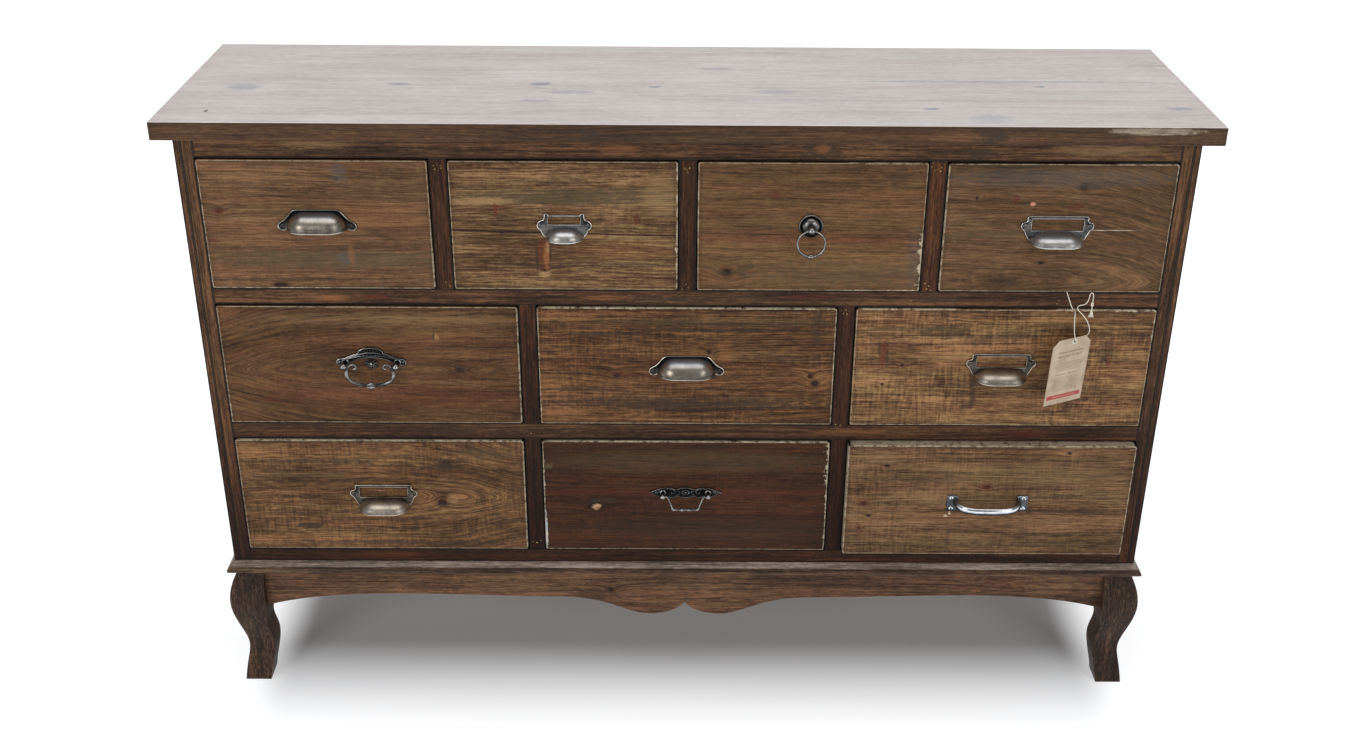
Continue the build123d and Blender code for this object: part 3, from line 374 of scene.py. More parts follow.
# Drawer fronts. Knots are (x, z, radius, stretch), marks (x, z, reach, reach, colour, strength), cracks
# (from x, to x, z, slope, half width, strength) and worn sides (side x, side z, from, to, reach), all from
# the front's middle. An arch is the grain's cathedral: (x, z, slope, bluntness, reach).
DRAWER_LOOKS = {
    1: dict(
        dark=(62, 44, 30), middle=(111, 81, 58), light=(152, 116, 84), gain=(0.82, 0.78, 0.74), contrast=0.75,
        ring_strength=0.12, saw=0.25,
        knots=((-111, 18, 2.6, 1.2), (27, 57, 1.2, 1.0), (-50, -75, 3, 2.6)),
        marks=((20, -42, 150, 13, OLIVE, 0.5), (30, 64, 9, 14, GREY, 0.4), (30, -40, 11, 8, GREY, 0.5),
            (36, -37, 4, 13, ORANGE, 0.45), (-123, -20, 8, 2.5, RED, 0.5), (-111, 18, 9, 5, RED, 0.45),
            (-114, 21, 12, 1.6, SOOT, 0.5), (66, -6, 11, 2, SOOT, 0.5), (-60, -68, 120, 3, SOOT, 0.45),
            (-100, 50, 60, 3, SOOT, 0.25), (70, 10, 60, 16, ORANGE, 0.18)),
        cracks=((-128, -20, 38, -0.06, 0.4, 0.35),),
        worn_sides=((-1, 0, -80, 40, 1.65), (1, 0, -80, -30, 1.65), (0, -1, -135, 20, 1.65))),
    2: dict(
        dark=(60, 43, 28), middle=(112, 84, 58), light=(168, 138, 100), gain=(0.74, 0.68, 0.65),
        rings=6, saw=0.35,
        knots=((-25, -54, 2.2, 0.9),),
        marks=((-25, -34, 9, 20, RED, 0.6), (-22, -38, 3.6, 17, ORANGE, 0.7), (-24, -60, 7, 4, STRAW, 0.6),
            (-33, -40, 2, 18, SOOT, 0.7), (-17, -34, 2, 12, SOOT, 0.55), (-20, -26, 2, 8, STRAW, 0.4),
            (10, 36, 130, 11, OLIVE, 0.55), (-95, 31, 36, 5, STRAW, 0.5), (112, 36, 22, 26, STRAW, 0.3),
            (-79, 20, 3, 9, RED, 0.6), (-77, 24, 8, 2, RED, 0.4), (83, 9, 2.6, 8, RED, 0.6),
            (60, -48, 110, 3, SOOT, 0.4), (70, -30, 60, 14, ORANGE, 0.15), (2, 52, 26, 20, SOOT, 0.22)),
        cracks=((-146, -10, -6, -0.024, 1.9, 0.9), (-142, 146, -7.7, -0.024, 1.2, 0.95),
            (-120, 60, 55, 0.0, 0.4, 0.3)),
        worn_sides=((1, 0, -78, 78, 3.3), (-1, 0, -80, 0, 1.38))),
    3: dict(
        dark=(56, 40, 26), middle=(100, 74, 51), light=(138, 104, 74), gain=(1.0, 0.92, 0.84), contrast=0.72,
        ring_strength=0.1,
        knots=((-96, -56, 5, 1.1),),
        marks=((30, -58, 130, 17, OLIVE, 0.35), (0, -14, 140, 5, RED, 0.2), (-42, 40, 5, 4, RED, 0.5),
            (-78, -50, 12, 14, SOOT, 0.22), (98, 62, 14, 12, SOOT, 0.4), (122, -40, 10, 40, GREY, 0.25)),
        cracks=((-26, 30, 35.5, 0.0, 0.6, 0.8), (-60, -30, 45, -0.3, 0.5, 0.4)),
        worn_sides=((1, 0, -78, -8, 6.8), (0, -1, 40, 132, 2.2), (-1, 0, -20, 60, 1.38), (0, 1, 40, 130, 1.65))),
    4: dict(
        dark=(58, 43, 30), middle=(101, 77, 54), light=(142, 110, 80), gain=(0.76, 0.71, 0.67), contrast=0.8,
        ring_strength=0.16, rings=11, arch=(107, -66, 0.3, 5, 70),
        knots=((25, 52, 3.6, 1.1), (-14, -42, 2.2, 1.6), (-96, 38, 1.6, 1.0)),
        marks=((34, 53, 20, 5, SOOT, 0.55), (0, 62, 130, 12, GREY, 0.3),
            (-31, 31, 3.2, 2.4, tone(200, 136, 116), 0.8), (21, 27, 11, 5, RED, 0.45), (-51, 37, 4, 6, RED, 0.4),
            (62, -1, 26, 0.7, BARE_WOOD, 0.55), (-52, -66, 16, 8, SOOT, 0.5), (-40, -8, 90, 6, OLIVE, 0.35),
            (60, -20, 80, 6, SOOT, 0.2)),
        worn_sides=((1, 0, 30, 78, 2.2), (-1, 0, -78, 78, 1.1), (0, 1, 60, 132, 1.65))),
    5: dict(
        dark=(56, 38, 25), middle=(99, 71, 49), light=(140, 104, 74), gain=(0.72, 0.65, 0.57), contrast=0.8,
        rings=7, saw=0.4, arch=(-158, -5, -0.3, 3, 80),
        knots=((106, -5, 3.4, 1.3),),
        marks=((80, 39, 3.6, 4.6, tone(150, 112, 72), 0.7), (77, 40, 1.6, 5, SOOT, 0.6),
            (-139, 52, 3, 1.6, SOOT, 0.7), (40, -45, 170, 18, RED, 0.2), (106, -5, 10, 7, SOOT, 0.45),
            (30, 62, 170, 8, STRAW, 0.16), (147, -8, 8, 3, SOOT, 0.4), (-125, -46, 12, 6, RED, 0.35)),
        worn_sides=((-1, 0, -80, 0, 2.2), (1, 0, -80, 78, 1.38))),
    6: dict(
        dark=(46, 32, 21), middle=(95, 69, 47), light=(142, 110, 78), gain=(0.9, 0.75, 0.65), saw=0.9,
        knots=((156, -21, 4, 1.1), (-84, -11, 3.4, 1.2), (150, -12, 2.4, 1.2), (27, 21, 2.4, 1.2)),
        marks=((0, -50, 180, 9, SOOT, 0.6), (-125, -30, 40, 5, SOOT, 0.45), (40, 50, 120, 4, SOOT, 0.45),
            (-95, 44, 50, 3, SOOT, 0.5), (110, 12, 60, 4, SOOT, 0.4), (60, 60, 160, 6, OLIVE, 0.3),
            (35, 16, 4, 10, SOOT, 0.5), (156, 52, 10, 22, SOOT, 0.4), (-40, -10, 60, 4, RED, 0.3),
            (44, 20, 12, 16, ORANGE, 0.2)),
        worn_sides=((0, 1, -176, 176, 2.2), (-1, 0, -78, 78, 1.93), (1, 0, -78, 78, 1.65))),
    7: dict(
        dark=(60, 42, 27), middle=(112, 84, 58), light=(158, 126, 90), gain=(1.03, 0.93, 0.88),
        saw=1.3,
        knots=((-142, -22, 1.2, 1.4), (-119, 4, 1.6, 1.0)),
        marks=((-143, 20, 5, 17, RED, 0.6), (-138, 14, 2, 14, SOOT, 0.6), (-148, 26, 2, 10, SOOT, 0.5),
            (129, 12, 4, 10, RED, 0.6), (126, 14, 2, 8, SOOT, 0.5), (124, 24, 10, 16, SOOT, 0.4),
            (-70, 48, 30, 10, SOOT, 0.5), (-30, 38, 22, 8, SOOT, 0.4), (10, 44, 26, 10, SOOT, 0.35),
            (-31, -34, 4, 20, SOOT, 0.65), (-23, -18, 2.6, 12, SOOT, 0.45), (-36, -50, 12, 6, SOOT, 0.5),
            (88, -40, 8, 22, SOOT, 0.55), (0, -24, 130, 4, SOOT, 0.3), (-100, 52, 70, 3, OLIVE, 0.3),
            (76, 52, 40, 6, SOOT, 0.35)),
        worn_sides=((0, 1, 60, 178, 3.3), (1, 0, 40, 80, 2.75), (0, 1, -178, -60, 1.65), (0, -1, -178, 120, 1.65))),
    8: dict(
        dark=(50, 35, 23), middle=(94, 69, 47), light=(140, 108, 76), gain=(1.1, 1.0, 0.9), contrast=0.95, rings=7,
        ring_strength=0.1, saw=1.0, arch=(127, -2, 0.3, 4, 45),
        knots=((81, 47, 4.2, 1.3), (73, -10, 4.6, 1.2)),
        marks=((80, 47, 15, 8, SOOT, 0.55), (86, -5, 7, 7, STRAW, 0.3), (74, -14, 10, 3, SOOT, 0.5),
            (-97, -46, 16, 5, SOOT, 0.75), (72, 40, 26, 4, SOOT, 0.5), (-60, 50, 70, 4, SOOT, 0.4),
            (-100, 30, 70, 3, OLIVE, 0.4), (30, -70, 150, 4, SOOT, 0.5), (0, -34, 90, 3, SOOT, 0.35),
            (130, 62, 40, 8, OLIVE, 0.3)),
        worn_sides=((1, 0, -78, 78, 1.38), (0, 1, -178, 178, 1.38))),
    9: dict(
        dark=(42, 28, 20), middle=(74, 50, 35), light=(108, 76, 54), gain=(0.59, 0.44, 0.3), contrast=0.8,
        ring_strength=0.12, saw=0.5,
        knots=((-113, -12, 5.4, 1.1),),
        marks=((-112, -12, 13, 10, tone(26, 17, 12), 0.7), (-112, -15, 5.5, 4.5, tone(190, 150, 112), 0.75),
            (-100, -6, 14, 4, SOOT, 0.6), (-113, -7, 7, 2, SOOT, 0.8), (0, 50, 180, 16, OLIVE, 0.25),
            (0, 6, 180, 6, RED, 0.3), (40, -50, 160, 20, SOOT, 0.3), (-172, 44, 8, 4, OLIVE, 0.5),
            (-176.5, -52, 1.6, 26, tone(196, 200, 206), 0.9)),
        worn_sides=((1, 0, 20, 76, 7.2), (1, 0, -70, 8, 3.3), (-1, 0, -76, 50, 3.85), (0, 1, -176, 176, 1.38))),
    10: dict(
        dark=(64, 46, 31), middle=(114, 87, 61), light=(154, 122, 90), gain=(0.8, 0.75, 0.71), contrast=0.95,
        saw=1.0,
        knots=((-129, 51, 1.8, 1.6), (-155, -4, 2.6, 1.4), (-148, -22, 1.5, 1.6), (-159, -40, 1.6, 0.9),
            (-2, 21, 2.6, 1.4), (96, 70, 1.8, 1.2)),
        marks=((-155, -2, 12, 6, RED, 0.3), (-159, -42, 5, 9, RED, 0.35), (-2, 22, 9, 6, RED, 0.35),
            (-46, -18, 1.6, 2.6, BARE_WOOD, 0.7), (-51, -22, 2.4, 1.6, BARE_WOOD, 0.6),
            (-46, -55, 3, 12, SOOT, 0.4), (-30, -46, 16, 8, SOOT, 0.18), (60, 6, 80, 3, SOOT, 0.4),
            (90, -14, 70, 3, SOOT, 0.45), (-90, 30, 60, 2.5, SOOT, 0.35), (20, -66, 140, 3, SOOT, 0.35),
            (40, 40, 120, 16, STRAW, 0.14)),
        cracks=((-60, 10, -13, 0.04, 0.6, 0.5), (-95, -20, -26, 0.02, 0.5, 0.4)),
        worn_sides=((1, 0, -78, 78, 1.65), (0, 1, -178, 178, 1.65), (-1, 0, -78, 78, 1.38))),
}
# Painted shade: each drawer front's sides, from 2.2 mm behind its face, take a dark brown tint as the shade of the
# gaps round it; drawer 10 stands open and keeps its wood there
FRONT_SHADE_DEPTH = 2.2 * MM
SIDE_TINT = tone(46, 34, 25)
OPEN_DRAWER = 10
for number, look in DRAWER_LOOKS.items():
    node_name = f"drawer_{number}_front"
    shaded = None if number == OPEN_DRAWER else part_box(node_name)[0][1] + FRONT_SHADE_DEPTH
    board(node_name, name=f"drawer_{number}_wood", seed=number, dark_behind=shaded, behind_tint=SIDE_TINT,
          corner=3.0, grime_reach=(8, 1), **look)

# Carcass woods
Y_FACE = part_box("front_rail_top")[0][1]
# The frame's edges beside the drawer openings carry strong painted shade
FRAME = dict(contrast=0.9, edge_grime=0.93, grime_reach=(2.0, 1.0))
FRAME_TONES = (37, 23, 15), (76, 52, 36), (120, 86, 60)
# Painted shade: the frame grows darker from 520 mm down to 190 mm
FRAME_SHADE = (190, 520, tone(172, 148, 132))
RAIL_MARKS = {
    "front_rail_top": (
        (-80, -2, 24, 6, ORANGE, 0.35), (150, 0, 26, 13, SOOT, 0.6), (152, 1, 9, 6, ORANGE, 0.42),
        (330, -4, 16, 8, SOOT, 0.6), (-420, 4, 40, 6, STRAW, 0.25), (480, 2, 60, 8, STRAW, 0.25)),
    "front_rail_upper": (
        (-420, -2, 20, 4, ORANGE, 0.6), (-370, 0, 16, 3, RED, 0.6), (-100, 0, 26, 3, ORANGE, 0.5),
        (-30, -2, 40, 3, SOOT, 0.5), (300, 0, 30, 5, SOOT, 0.5), (140, 2, 30, 3, RED, 0.4)),
    "front_rail_lower": ((-300, 0, 40, 5, SOOT, 0.5), (200, 0, 50, 4, ORANGE, 0.3), (420, 0, 30, 5, RED, 0.4)),
    "front_rail_bottom": ((-380, 0, 40, 5, ORANGE, 0.35), (60, 0, 60, 4, SOOT, 0.4), (500, 2, 30, 4, RED, 0.5)),
}
UPRIGHT_NODES = ("side_panel_left", "side_panel_right", "front_post_left", "front_post_right")
# Posts and rails, not the side panels, are painted near black behind the face plane, as painted shade in the drawer
# openings
for seed, node_name in enumerate((*UPRIGHT_NODES, *RAIL_MARKS), 20):
    board(node_name, *FRAME_TONES, grain="X" if node_name in RAIL_MARKS else "Z", seed=seed,
          marks=RAIL_MARKS.get(node_name, ()), dark_behind=None if "panel" in node_name else Y_FACE,
          darker_below=FRAME_SHADE, **FRAME)
# The muntins are one node. Each is 20 mm wide, at the middle or one of these distances from it
MUNTIN_WIDTH = 20 * MM
MUNTIN_PLACES = (284.75, 189.833)
# The muntins too are painted near black behind the face plane and darker towards the bottom, as painted shade
board("muntins", (30, 15, 8), (66, 39, 23), (106, 66, 41), name="muntin_wood", grain="Z", seed=31,
      size=(MUNTIN_WIDTH, *middle_and_size("muntins")[1].yz), spread=MUNTIN_PLACES, dark_behind=Y_FACE,
      darker_below=(190, 660, tone(132, 99, 76)), **FRAME)
# The top's colour above its upper face is a pale painted reflection of the bright room, with its knots and streaks as
# marks in it
board("top_boards", (42, 28, 18), (76, 52, 34), (112, 82, 54), name="top_wood", seed=40, rings=12, bend=16,
      edge=0.5, contrast=0.7, roughness=0.5, coat=0.08, ring_strength=0.2,
      upper=(780, (206, 194, 190), (226, 217, 214), (242, 236, 234)),
      marks=((-112, -2, 14, 8, SOOT, 0.7), (340, -1, 20, 9, SOOT, 0.7), (520, 6, 50, 4, BARE_WOOD, 0.35)),
      upper_marks=(
          (-175, -1, 15, 6, BLUISH, 0.75), (-343, -5, 14, 5, BLUISH, 0.6), (-525, -20, 20, 12, BLUISH, 0.4),
          (-138, -33, 30, 7, BLUISH, 0.4), (-177, -69, 26, 6, BLUISH, 0.35), (-39, -11, 8, 4, BLUISH, 0.8),
          (-545, -113, 2.5, 4, SOOT, 0.8), (279, -91, 9, 4, BLUISH, 0.85), (421, -2, 6, 4, BLUISH, 0.7),
          (565, -86, 18, 6, BLUISH, 0.5), (341, -127, 26, 16, BLUISH, 0.3), (105, -28, 26, 10, BLUISH, 0.3),
          (37, 66, 18, 8, BLUISH, 0.3), (370, 18, 190, 4, BLUISH, 0.35), (-330, -90, 200, 5, PINKISH, 0.4),
          (-260, 60, 180, 7, PINKISH, 0.4), (220, 100, 240, 8, PINKISH, 0.35), (150, -60, 200, 5, BLUISH, 0.2),
          (-60, 130, 260, 8, PINKISH, 0.35), (420, -60, 120, 12, PINKISH, 0.3)))
# The moulding's upper part carries a painted reflection
board("base_frame", (34, 23, 16), (66, 46, 33), (108, 80, 60), name="base_wood", edged=False, centre=(0, 0, 0),
      seed=41, contrast=1.1, roughness=0.45, shine=0.2, coat=0.05,
      upper=(181.5, (80, 67, 58), (120, 105, 94), (164, 148, 136)))
for seed, place in enumerate(("front_left", "front_right", "rear_left", "rear_right"), 50):
    board(f"leg_{place}", (26, 17, 13), (54, 38, 30), (92, 68, 54), edged=False, grain="Z", seed=seed,
          roughness=0.45)
board("apron_front", (50, 34, 25), (90, 64, 48), (126, 92, 68), edged=False, seed=61, rings=10,
      marks=((-330, 8, 50, 8, SOOT, 0.4), (-120, -6, 30, 10, SOOT, 0.45), (60, 4, 60, 5, SOOT, 0.3),
             (300, 4, 80, 4, SOOT, 0.35)), knots=((-96, 4, 3, 1.4),))
for seed, node_name in enumerate(("apron_left", "apron_right"), 64):
    board(node_name, (46, 31, 23), (80, 57, 43), (108, 80, 60), edged=False, centre=(0, 0, 0), grain="Y", seed=seed)
for grain, node_names in {
    "X": ("rear_frame", "bottom_panel", "leg_blocks", "apron_rear"),
    "Z": ("back_boards",),
    "Y": ("drawer_runners", "drawer_guides", *(f"drawer_{n}_box" for n in DRAWER_LOOKS)),
}.items():
    raw_wood = wood_material(
        f"inner_wood_{grain.lower()}", (118, 88, 58), (168, 134, 96), (200, 168, 128), grain=grain, seed=70,
        roughness=0.7)
    for node_name in node_names:
        assign(node_name, raw_wood)


def metal_material(name, dark, tint, light, rough, shine, rubbing=0.0, underside=0.5, upper=0.0):
    """Cast metal, dark in its hollows and bright where hands reach it, with painted shade on what faces down and a
    painted cool reflection on what faces up.
    """
    shader = Shader(name)
    x, y, z = shader.millimetres()
    broad = shader.noise(x / 14, y / 14, z / 14, 3.0, 0.55) - 0.5
    fine = shader.noise(x / 1.3, y / 1.3, z / 1.3, 3.0, 0.65) - 0.5
    scratch = shader.noise(x / 9, y / 0.7, z / 0.7) - 0.5
    worn = Value(shader, shader.node("Attribute", attribute_name="worn").outputs["Fac"])
    facing = shader.split(shader.normal)[2]
    # Painted shade on what faces down
    patina = facing.rise(0.15, -0.6) * -underside
    # The metal's lightness: its wear and patina, with the painted shade and the painted highlights carried in the wear
    # values
    rubbed = worn + rubbing + patina + broad * 0.7 + fine * 0.5 + scratch * 0.3
    colour = shader.ramp(rubbed, (0.0, dark), (0.42, tint), (1.0, light))
    # A painted reflection: a cooler cast on what faces up
    colour = shader.mix(facing.rise(0.55, 0.95) * upper, colour, tone(176, 186, 202))
    return shader.finish(
        Base_Color=colour, Metallic=1.0, Roughness=rubbed.rise(0.0, 1.1).line(shine - rough, rough),
        Normal=shader.bump(fine * 0.6 + scratch * 0.4, 0.00006))


pewter = metal_material("antique_metal", (42, 42, 44), (126, 124, 121), (226, 221, 213), 0.5, 0.3, upper=0.6)
worn_pewter = metal_material("worn_metal", (42, 41, 40), (114, 107, 98), (208, 196, 180), 0.5, 0.32)
bronzed = metal_material("bronzed_metal", (32, 31, 31), (88, 82, 76), (198, 187, 172), 0.46, 0.26, upper=0.6)
blackened = metal_material(
    "blackened_metal", (22, 22, 23), (70, 70, 70), (200, 197, 193), 0.38, 0.22, rubbing=-0.3)
zinc = metal_material(
    "bright_metal", (40, 42, 46), (98, 102, 108), (226, 230, 235), 0.34, 0.14, rubbing=-0.38, underside=1.5)
brass = metal_material("brass_metal", (110, 90, 58), (190, 166, 122), (244, 230, 196), 0.5, 0.34, rubbing=0.1)


def between(a, b, t_a, t_b, t):
    """The point between a and b where t lies between their knots."""
    share = (t - t_a) / (t_b - t_a)
    return [p + (q - p) * share for p, q in zip(a, b)]


def smooth(points, closed, steps):
    """Points of a smooth curve through the given ones, with any further values carried along."""
    if closed:
        near = [points[-1], *points, points[0], points[1]]
    else:
        near = [between(points[1], points[0], 0, 1, 2), *points, between(points[-2], points[-1], 0, 1, 2)]
    result = []
    for group in zip(near, near[1:], near[2:], near[3:]):
        knots = [0.0]
        for a, b in zip(group, group[1:]):
            distance = sum((q - p) ** 2 for p, q in zip(a[:3], b[:3])) ** 0.5
            knots.append(knots[-1] + max(distance, 0.001) ** 0.5)
        for step in range(steps):
            t = knots[1] + (knots[2] - knots[1]) * step / steps
            first = [between(group[k], group[k + 1], knots[k], knots[k + 1], t) for k in range(3)]
            second = [between(first[k], first[k + 1], knots[k], knots[k + 2], t) for k in range(2)]
            result.append(tuple(between(second[0], second[1], knots[1], knots[2], t)))
    if not closed:
        result.append(tuple(points[-1]))
    return result


def mirrored(half, steps=6):
    """A closed outline from its right half, listed from the top middle to the bottom middle."""
    left = [(-x, z) for x, z in reversed(half) if x > 0.01]
    return smooth([*half, *left], closed=True, steps=steps)


def from_side_to_side(half):
    """A symmetrical route from its right half, listed from the end to the middle."""
    return [*((-x, *rest) for x, *rest in half), *reversed(half[:-1])]


def rectangle(half, inner, low, middle, high):
    """A window's outline: its corners, and a few points between them."""
    return [(-half, low), (-inner, low), (inner, low), (half, low), (half, middle),
            (half, high), (inner, high), (-inner, high), (-half, high), (-half, middle)]


def inset(outline, distance):
    """A closed outline drawn in by a distance."""
    after = outline[1:] + outline[:1]
    before = outline[-1:] + outline[:-1]
    area = sum(x0 * z1 - x1 * z0 for (x0, z0), (x1, z1) in zip(outline, after))
    side = distance if area > 0 else -distance
    result = []
    for (x, z), (x0, z0), (x1, z1) in zip(outline, before, after):
        along = Vector((x1 - x0, z1 - z0)).normalized()
        result.append((x - along.y * side, z + along.x * side))
    return result


class Casting:
    """A mesh in the making, in millimetres. Points are (right, up, out, worn), 0 for dark to 1 for bright with wear;
    on the cups it also holds a painted highlight.
    """

    def __init__(self, name):
        self.name = name
        self.mesh = bmesh.new()
        self.worn = self.mesh.verts.layers.float.new("worn")

    def vertex(self, right, up, out, worn):
        vertex = self.mesh.verts.new((right, -out, up))
        vertex[self.worn] = worn
        return vertex

    def skin(self, rows, around=True, ring=False):
        """Quads between rows of points; around closes each row, and ring joins last to first."""
        grid = [[self.vertex(*point) for point in row] for row in rows]
        count = len(grid[0])
        pairs = list(zip(grid, grid[1:]))
        if ring:
            pairs.append((grid[-1], grid[0]))
        for low, high in pairs:
            for i in range(count if around else count - 1):
                j = (i + 1) % count
                self.mesh.faces.new((low[i], low[j], high[j], high[i]))
        return grid

    def turned(self, profile, right, up, steps):
        """A turned shape about the out axis; the profile is (radius, out, worn)."""
        angles = [tau * k / steps for k in range(steps)]
        return self.skin(
            [[(right + r * cos(a), up + r * sin(a), out, worn) for a in angles] for r, out, worn in profile])

    def ball(self, right, up, out, radius, worn, stretch=(1.0, 1.0, 1.0), turn=0.0):
        """A round bead, perhaps drawn out and turned in the plane of the face."""
        rings, sides = 10, 20
        rows = []
        for k in range(rings + 1):
            tilt = pi * k / rings
            row = []
            for j in range(sides):
                a = tau * j / sides
                dx = radius * stretch[0] * sin(tilt) * cos(a)
                dz = radius * stretch[1] * sin(tilt) * sin(a)
                row.append((
                    right + dx * cos(turn) - dz * sin(turn), up + dx * sin(turn) + dz * cos(turn),
                    out - radius * stretch[2] * cos(tilt), worn,
                ))
            rows.append(row)
        self.skin(rows)

    def balls(self, right, up, out, radius, worn, stretch=(1.0, 1.0, 1.0), turn=0.0):
        """A bead on each side."""
        for side in BOTH_SIDES:
            self.ball(side * right, up, out, radius, worn, stretch, side * turn)

    def tube(self, points, reference=(0, 0, 1), closed=False, steps=6, sides=14):
        """A rod along (right, up, out, half size along the reference, the other half, worn)."""
        route = smooth(points, closed, steps)
        places = [Vector(point[:3]) for point in route]
        count = len(places)
        rows = []
        for i, (place, point) in enumerate(zip(places, route)):
            after = places[(i + 1) % count] if closed else places[min(i + 1, count - 1)]
            before = places[i - 1] if closed else places[max(i - 1, 0)]
            along = (after - before).normalized()
            one = Vector(reference) - along * along.dot(Vector(reference))
            one.normalize()
            other = along.cross(one)
            rows.append([
                (*(place + one * point[3] * cos(a) + other * point[4] * sin(a)), point[5])
                for a in (tau * k / sides for k in range(sides))
            ])
        if not closed:
            rows.insert(0, [(*places[0], route[0][5])] * sides)
            rows.append([(*places[-1], route[-1][5])] * sides)
        self.skin(rows, ring=closed)

    def wires(self, points, out, size, worn):
        """A thin round rod on each side, along (right, up)."""
        for side in BOTH_SIDES:
            self.tube([(side * x, z, out, size, size, worn) for x, z in points], steps=4, sides=8)

    def plate(self, outline, profile, window=None):
        """A plate whose edge follows (inset, out, worn), perhaps with a window."""
        edges = []
        for loop, steps, side in ((outline, profile, 1), (window, WINDOW_RIM, -1)):
            if loop:
                rows = [[(x, z, out, worn) for x, z in inset(loop, distance * side)] for distance, out, worn in steps]
                last = self.skin(rows)[-1]
                edges += [self.mesh.edges.get((a, b)) for a, b in zip(last, last[1:] + last[:1])]
        bmesh.ops.triangle_fill(self.mesh, use_beauty=True, edges=edges)

    def cup(self, half, flat_half, height, depth, base, wall=1.2):
        """A hollow quarter-round cup, open below, with a rounded lip and a dark inside."""
        corner_steps, flat_steps, swing_steps = 14, 5, 16

        def row(shrink, swing, drop, worn):
            end = half - shrink - flat_half
            rise = height - shrink
            angles = [pi / 2 * k / corner_steps for k in range(corner_steps + 1)]
            points = [(flat_half + end * cos(a), rise * sin(a)) for a in angles]
            points += [(flat_half * (1 - k / flat_steps), rise) for k in range(1, flat_steps)]
            full = points + [(0.0, rise)] + [(-x, h) for x, h in reversed(points)]
            reach = (depth - shrink) / rise
            return [(x, base - drop + h * cos(swing), h * reach * sin(swing), worn) for x, h in full]

        swings = [pi / 2 * k / swing_steps for k in range(swing_steps + 1)]
        # Across the dome, a painted highlight band in the wear values, brightest halfway round
        rows = [row(0, a, 0, 0.3 + 0.45 * sin(2 * a) ** 2 + 0.1 * min(1, a / 0.3)) for a in swings]
        rows += [row(-0.35, pi / 2, 0.35, 1), row(-0.3, pi / 2, 0.9, 1), row(0.4, pi / 2, 1.2, 0.8),
                 row(wall, pi / 2, 0.7, 0.3)]
        rows += [row(wall, a, 0, 0.0) for a in reversed(swings)]
        self.skin(rows, around=False)

    def screw(self, right, up, seat, radius, turn, cross=False, worn=0.35):
        """A round screw head with a slot or a cross in it."""
        height, slot_half, slot_depth, cross_reach = 1.1, 0.4, 0.55, 0.7
        rings, sides = 14, 48
        rows = []
        heading = radians(turn)
        for k in range(rings + 1):
            share = k / rings
            row = []
            for j in range(sides):
                a = tau * j / sides
                x, z = radius * share * cos(a), radius * share * sin(a)
                slots = [abs(x * sin(heading) - z * cos(heading))]
                if cross:
                    slots.append(abs(x * cos(heading) + z * sin(heading)))
                cut = min(slots) < slot_half and not (cross and share >= cross_reach)
                out = seat + height * (1 - share ** 2.6) ** 0.5 - (slot_depth if cut else 0)
                row.append((right + x, up + z, max(out, seat - 0.3), 0.0 if cut else worn))
            rows.append(row)
        self.skin(rows)

    def finish(self, origin, material, body, slot, *replaced, sharp=38):
        """Puts the casting at its origin, on its body, and hides the nodes it stands for."""
        bmesh.ops.remove_doubles(self.mesh, verts=self.mesh.verts[:], dist=0.004)
        bmesh.ops.recalc_face_normals(self.mesh, faces=self.mesh.faces[:])
        self.mesh.transform(Matrix.Translation(origin) @ Matrix.Scale(MM, 4))
        data = bpy.data.meshes.new(self.name)
        self.mesh.to_mesh(data)
        self.mesh.free()
        for polygon in data.polygons:
            polygon.use_smooth = True
        data.set_sharp_from_angle(angle=radians(sharp))
        return add_piece(self.name, data, material, body, slot, *replaced)


# Brads where the rails meet the uprights: small domed heads, (x, z) in millimetres
BRADS = (
    (-288.8, 724), (-287.8, 719.5), (-283.8, 718.4), (-280.9, 720.9), (-281.1, 724), (-285.1, 725.1),
    (-4, 722), (-1.9, 720.3), (0.1, 715.9), (1.7, 722.4), (-0.6, 717.9),
    (278.3, 730.4), (276.6, 725.9), (280.4, 721.1), (287.5, 720.4), (288.3, 724.7), (283.7, 722.6),
    (-283.8, 579.9), (-280.5, 576.6), (-276.7, 580.4), (-278.9, 574.5), (-5.6, 572.1), (-1.4, 578.3), (1.3, 574.2),
    (-3.7, 576.2), (280, 581.1), (284.7, 578), (287.3, 572.6), (282.5, 573.9), (183.5, 546.1), (186.2, 541.4),
    (190.5, 540.6), (193.1, 544.6), (189, 546.4), (184.6, 390.5), (185, 387.7), (190.3, 389.4), (187.8, 385.4),
    (-195.1, 217), (-190, 215.5), (-184.8, 218.8), (177.1, 382.1), (181.7, 379.9), (185.7, 382.5), (-191.4, 376.1),
    (197.2, 380.6), (435.7, 563.6), (439, 555.3), (440.9, 559.7),
)
brads = Casting("frame_brads")
for index, (x, z) in enumerate(BRADS):
    radius = 1.0 + 0.25 * sin(index * 2.3)
    rows = brads.turned([(radius * share, out, 0) for share, out in (
        (1.0, -0.1), (0.95, 0.3), (0.6, 0.55), (0, 0.65))], x, z, steps=10)
    brads.mesh.faces.new(rows[0])
brads.finish((0, Y_FACE, 0), brass, "carcass", "bright_metal", sharp=0)

# Pulls, made to the right of, above and out from each pull's centre, which stands above the drawer's own
PULL_RISES = (-0.5, 2, 2.5, 4, 5.5, -5, 7.5, 3.5, 6.5, -2.5)


def finish_pull(casting, number, material, part="pull", slot="antique_metal"):
    """Puts a pull, or its swinging part, on its drawer in place of the frame's node."""
    middle, size = middle_and_size(f"drawer_{number}_front")
    origin = middle + Vector((0, -size.y / 2, PULL_RISES[number - 1] * MM))
    body = f"drawer_{number}" if part == "pull" else f"swinging_{part}_{number}"
    casting.finish(origin, material, body, slot, f"drawer_{number}_{part}")


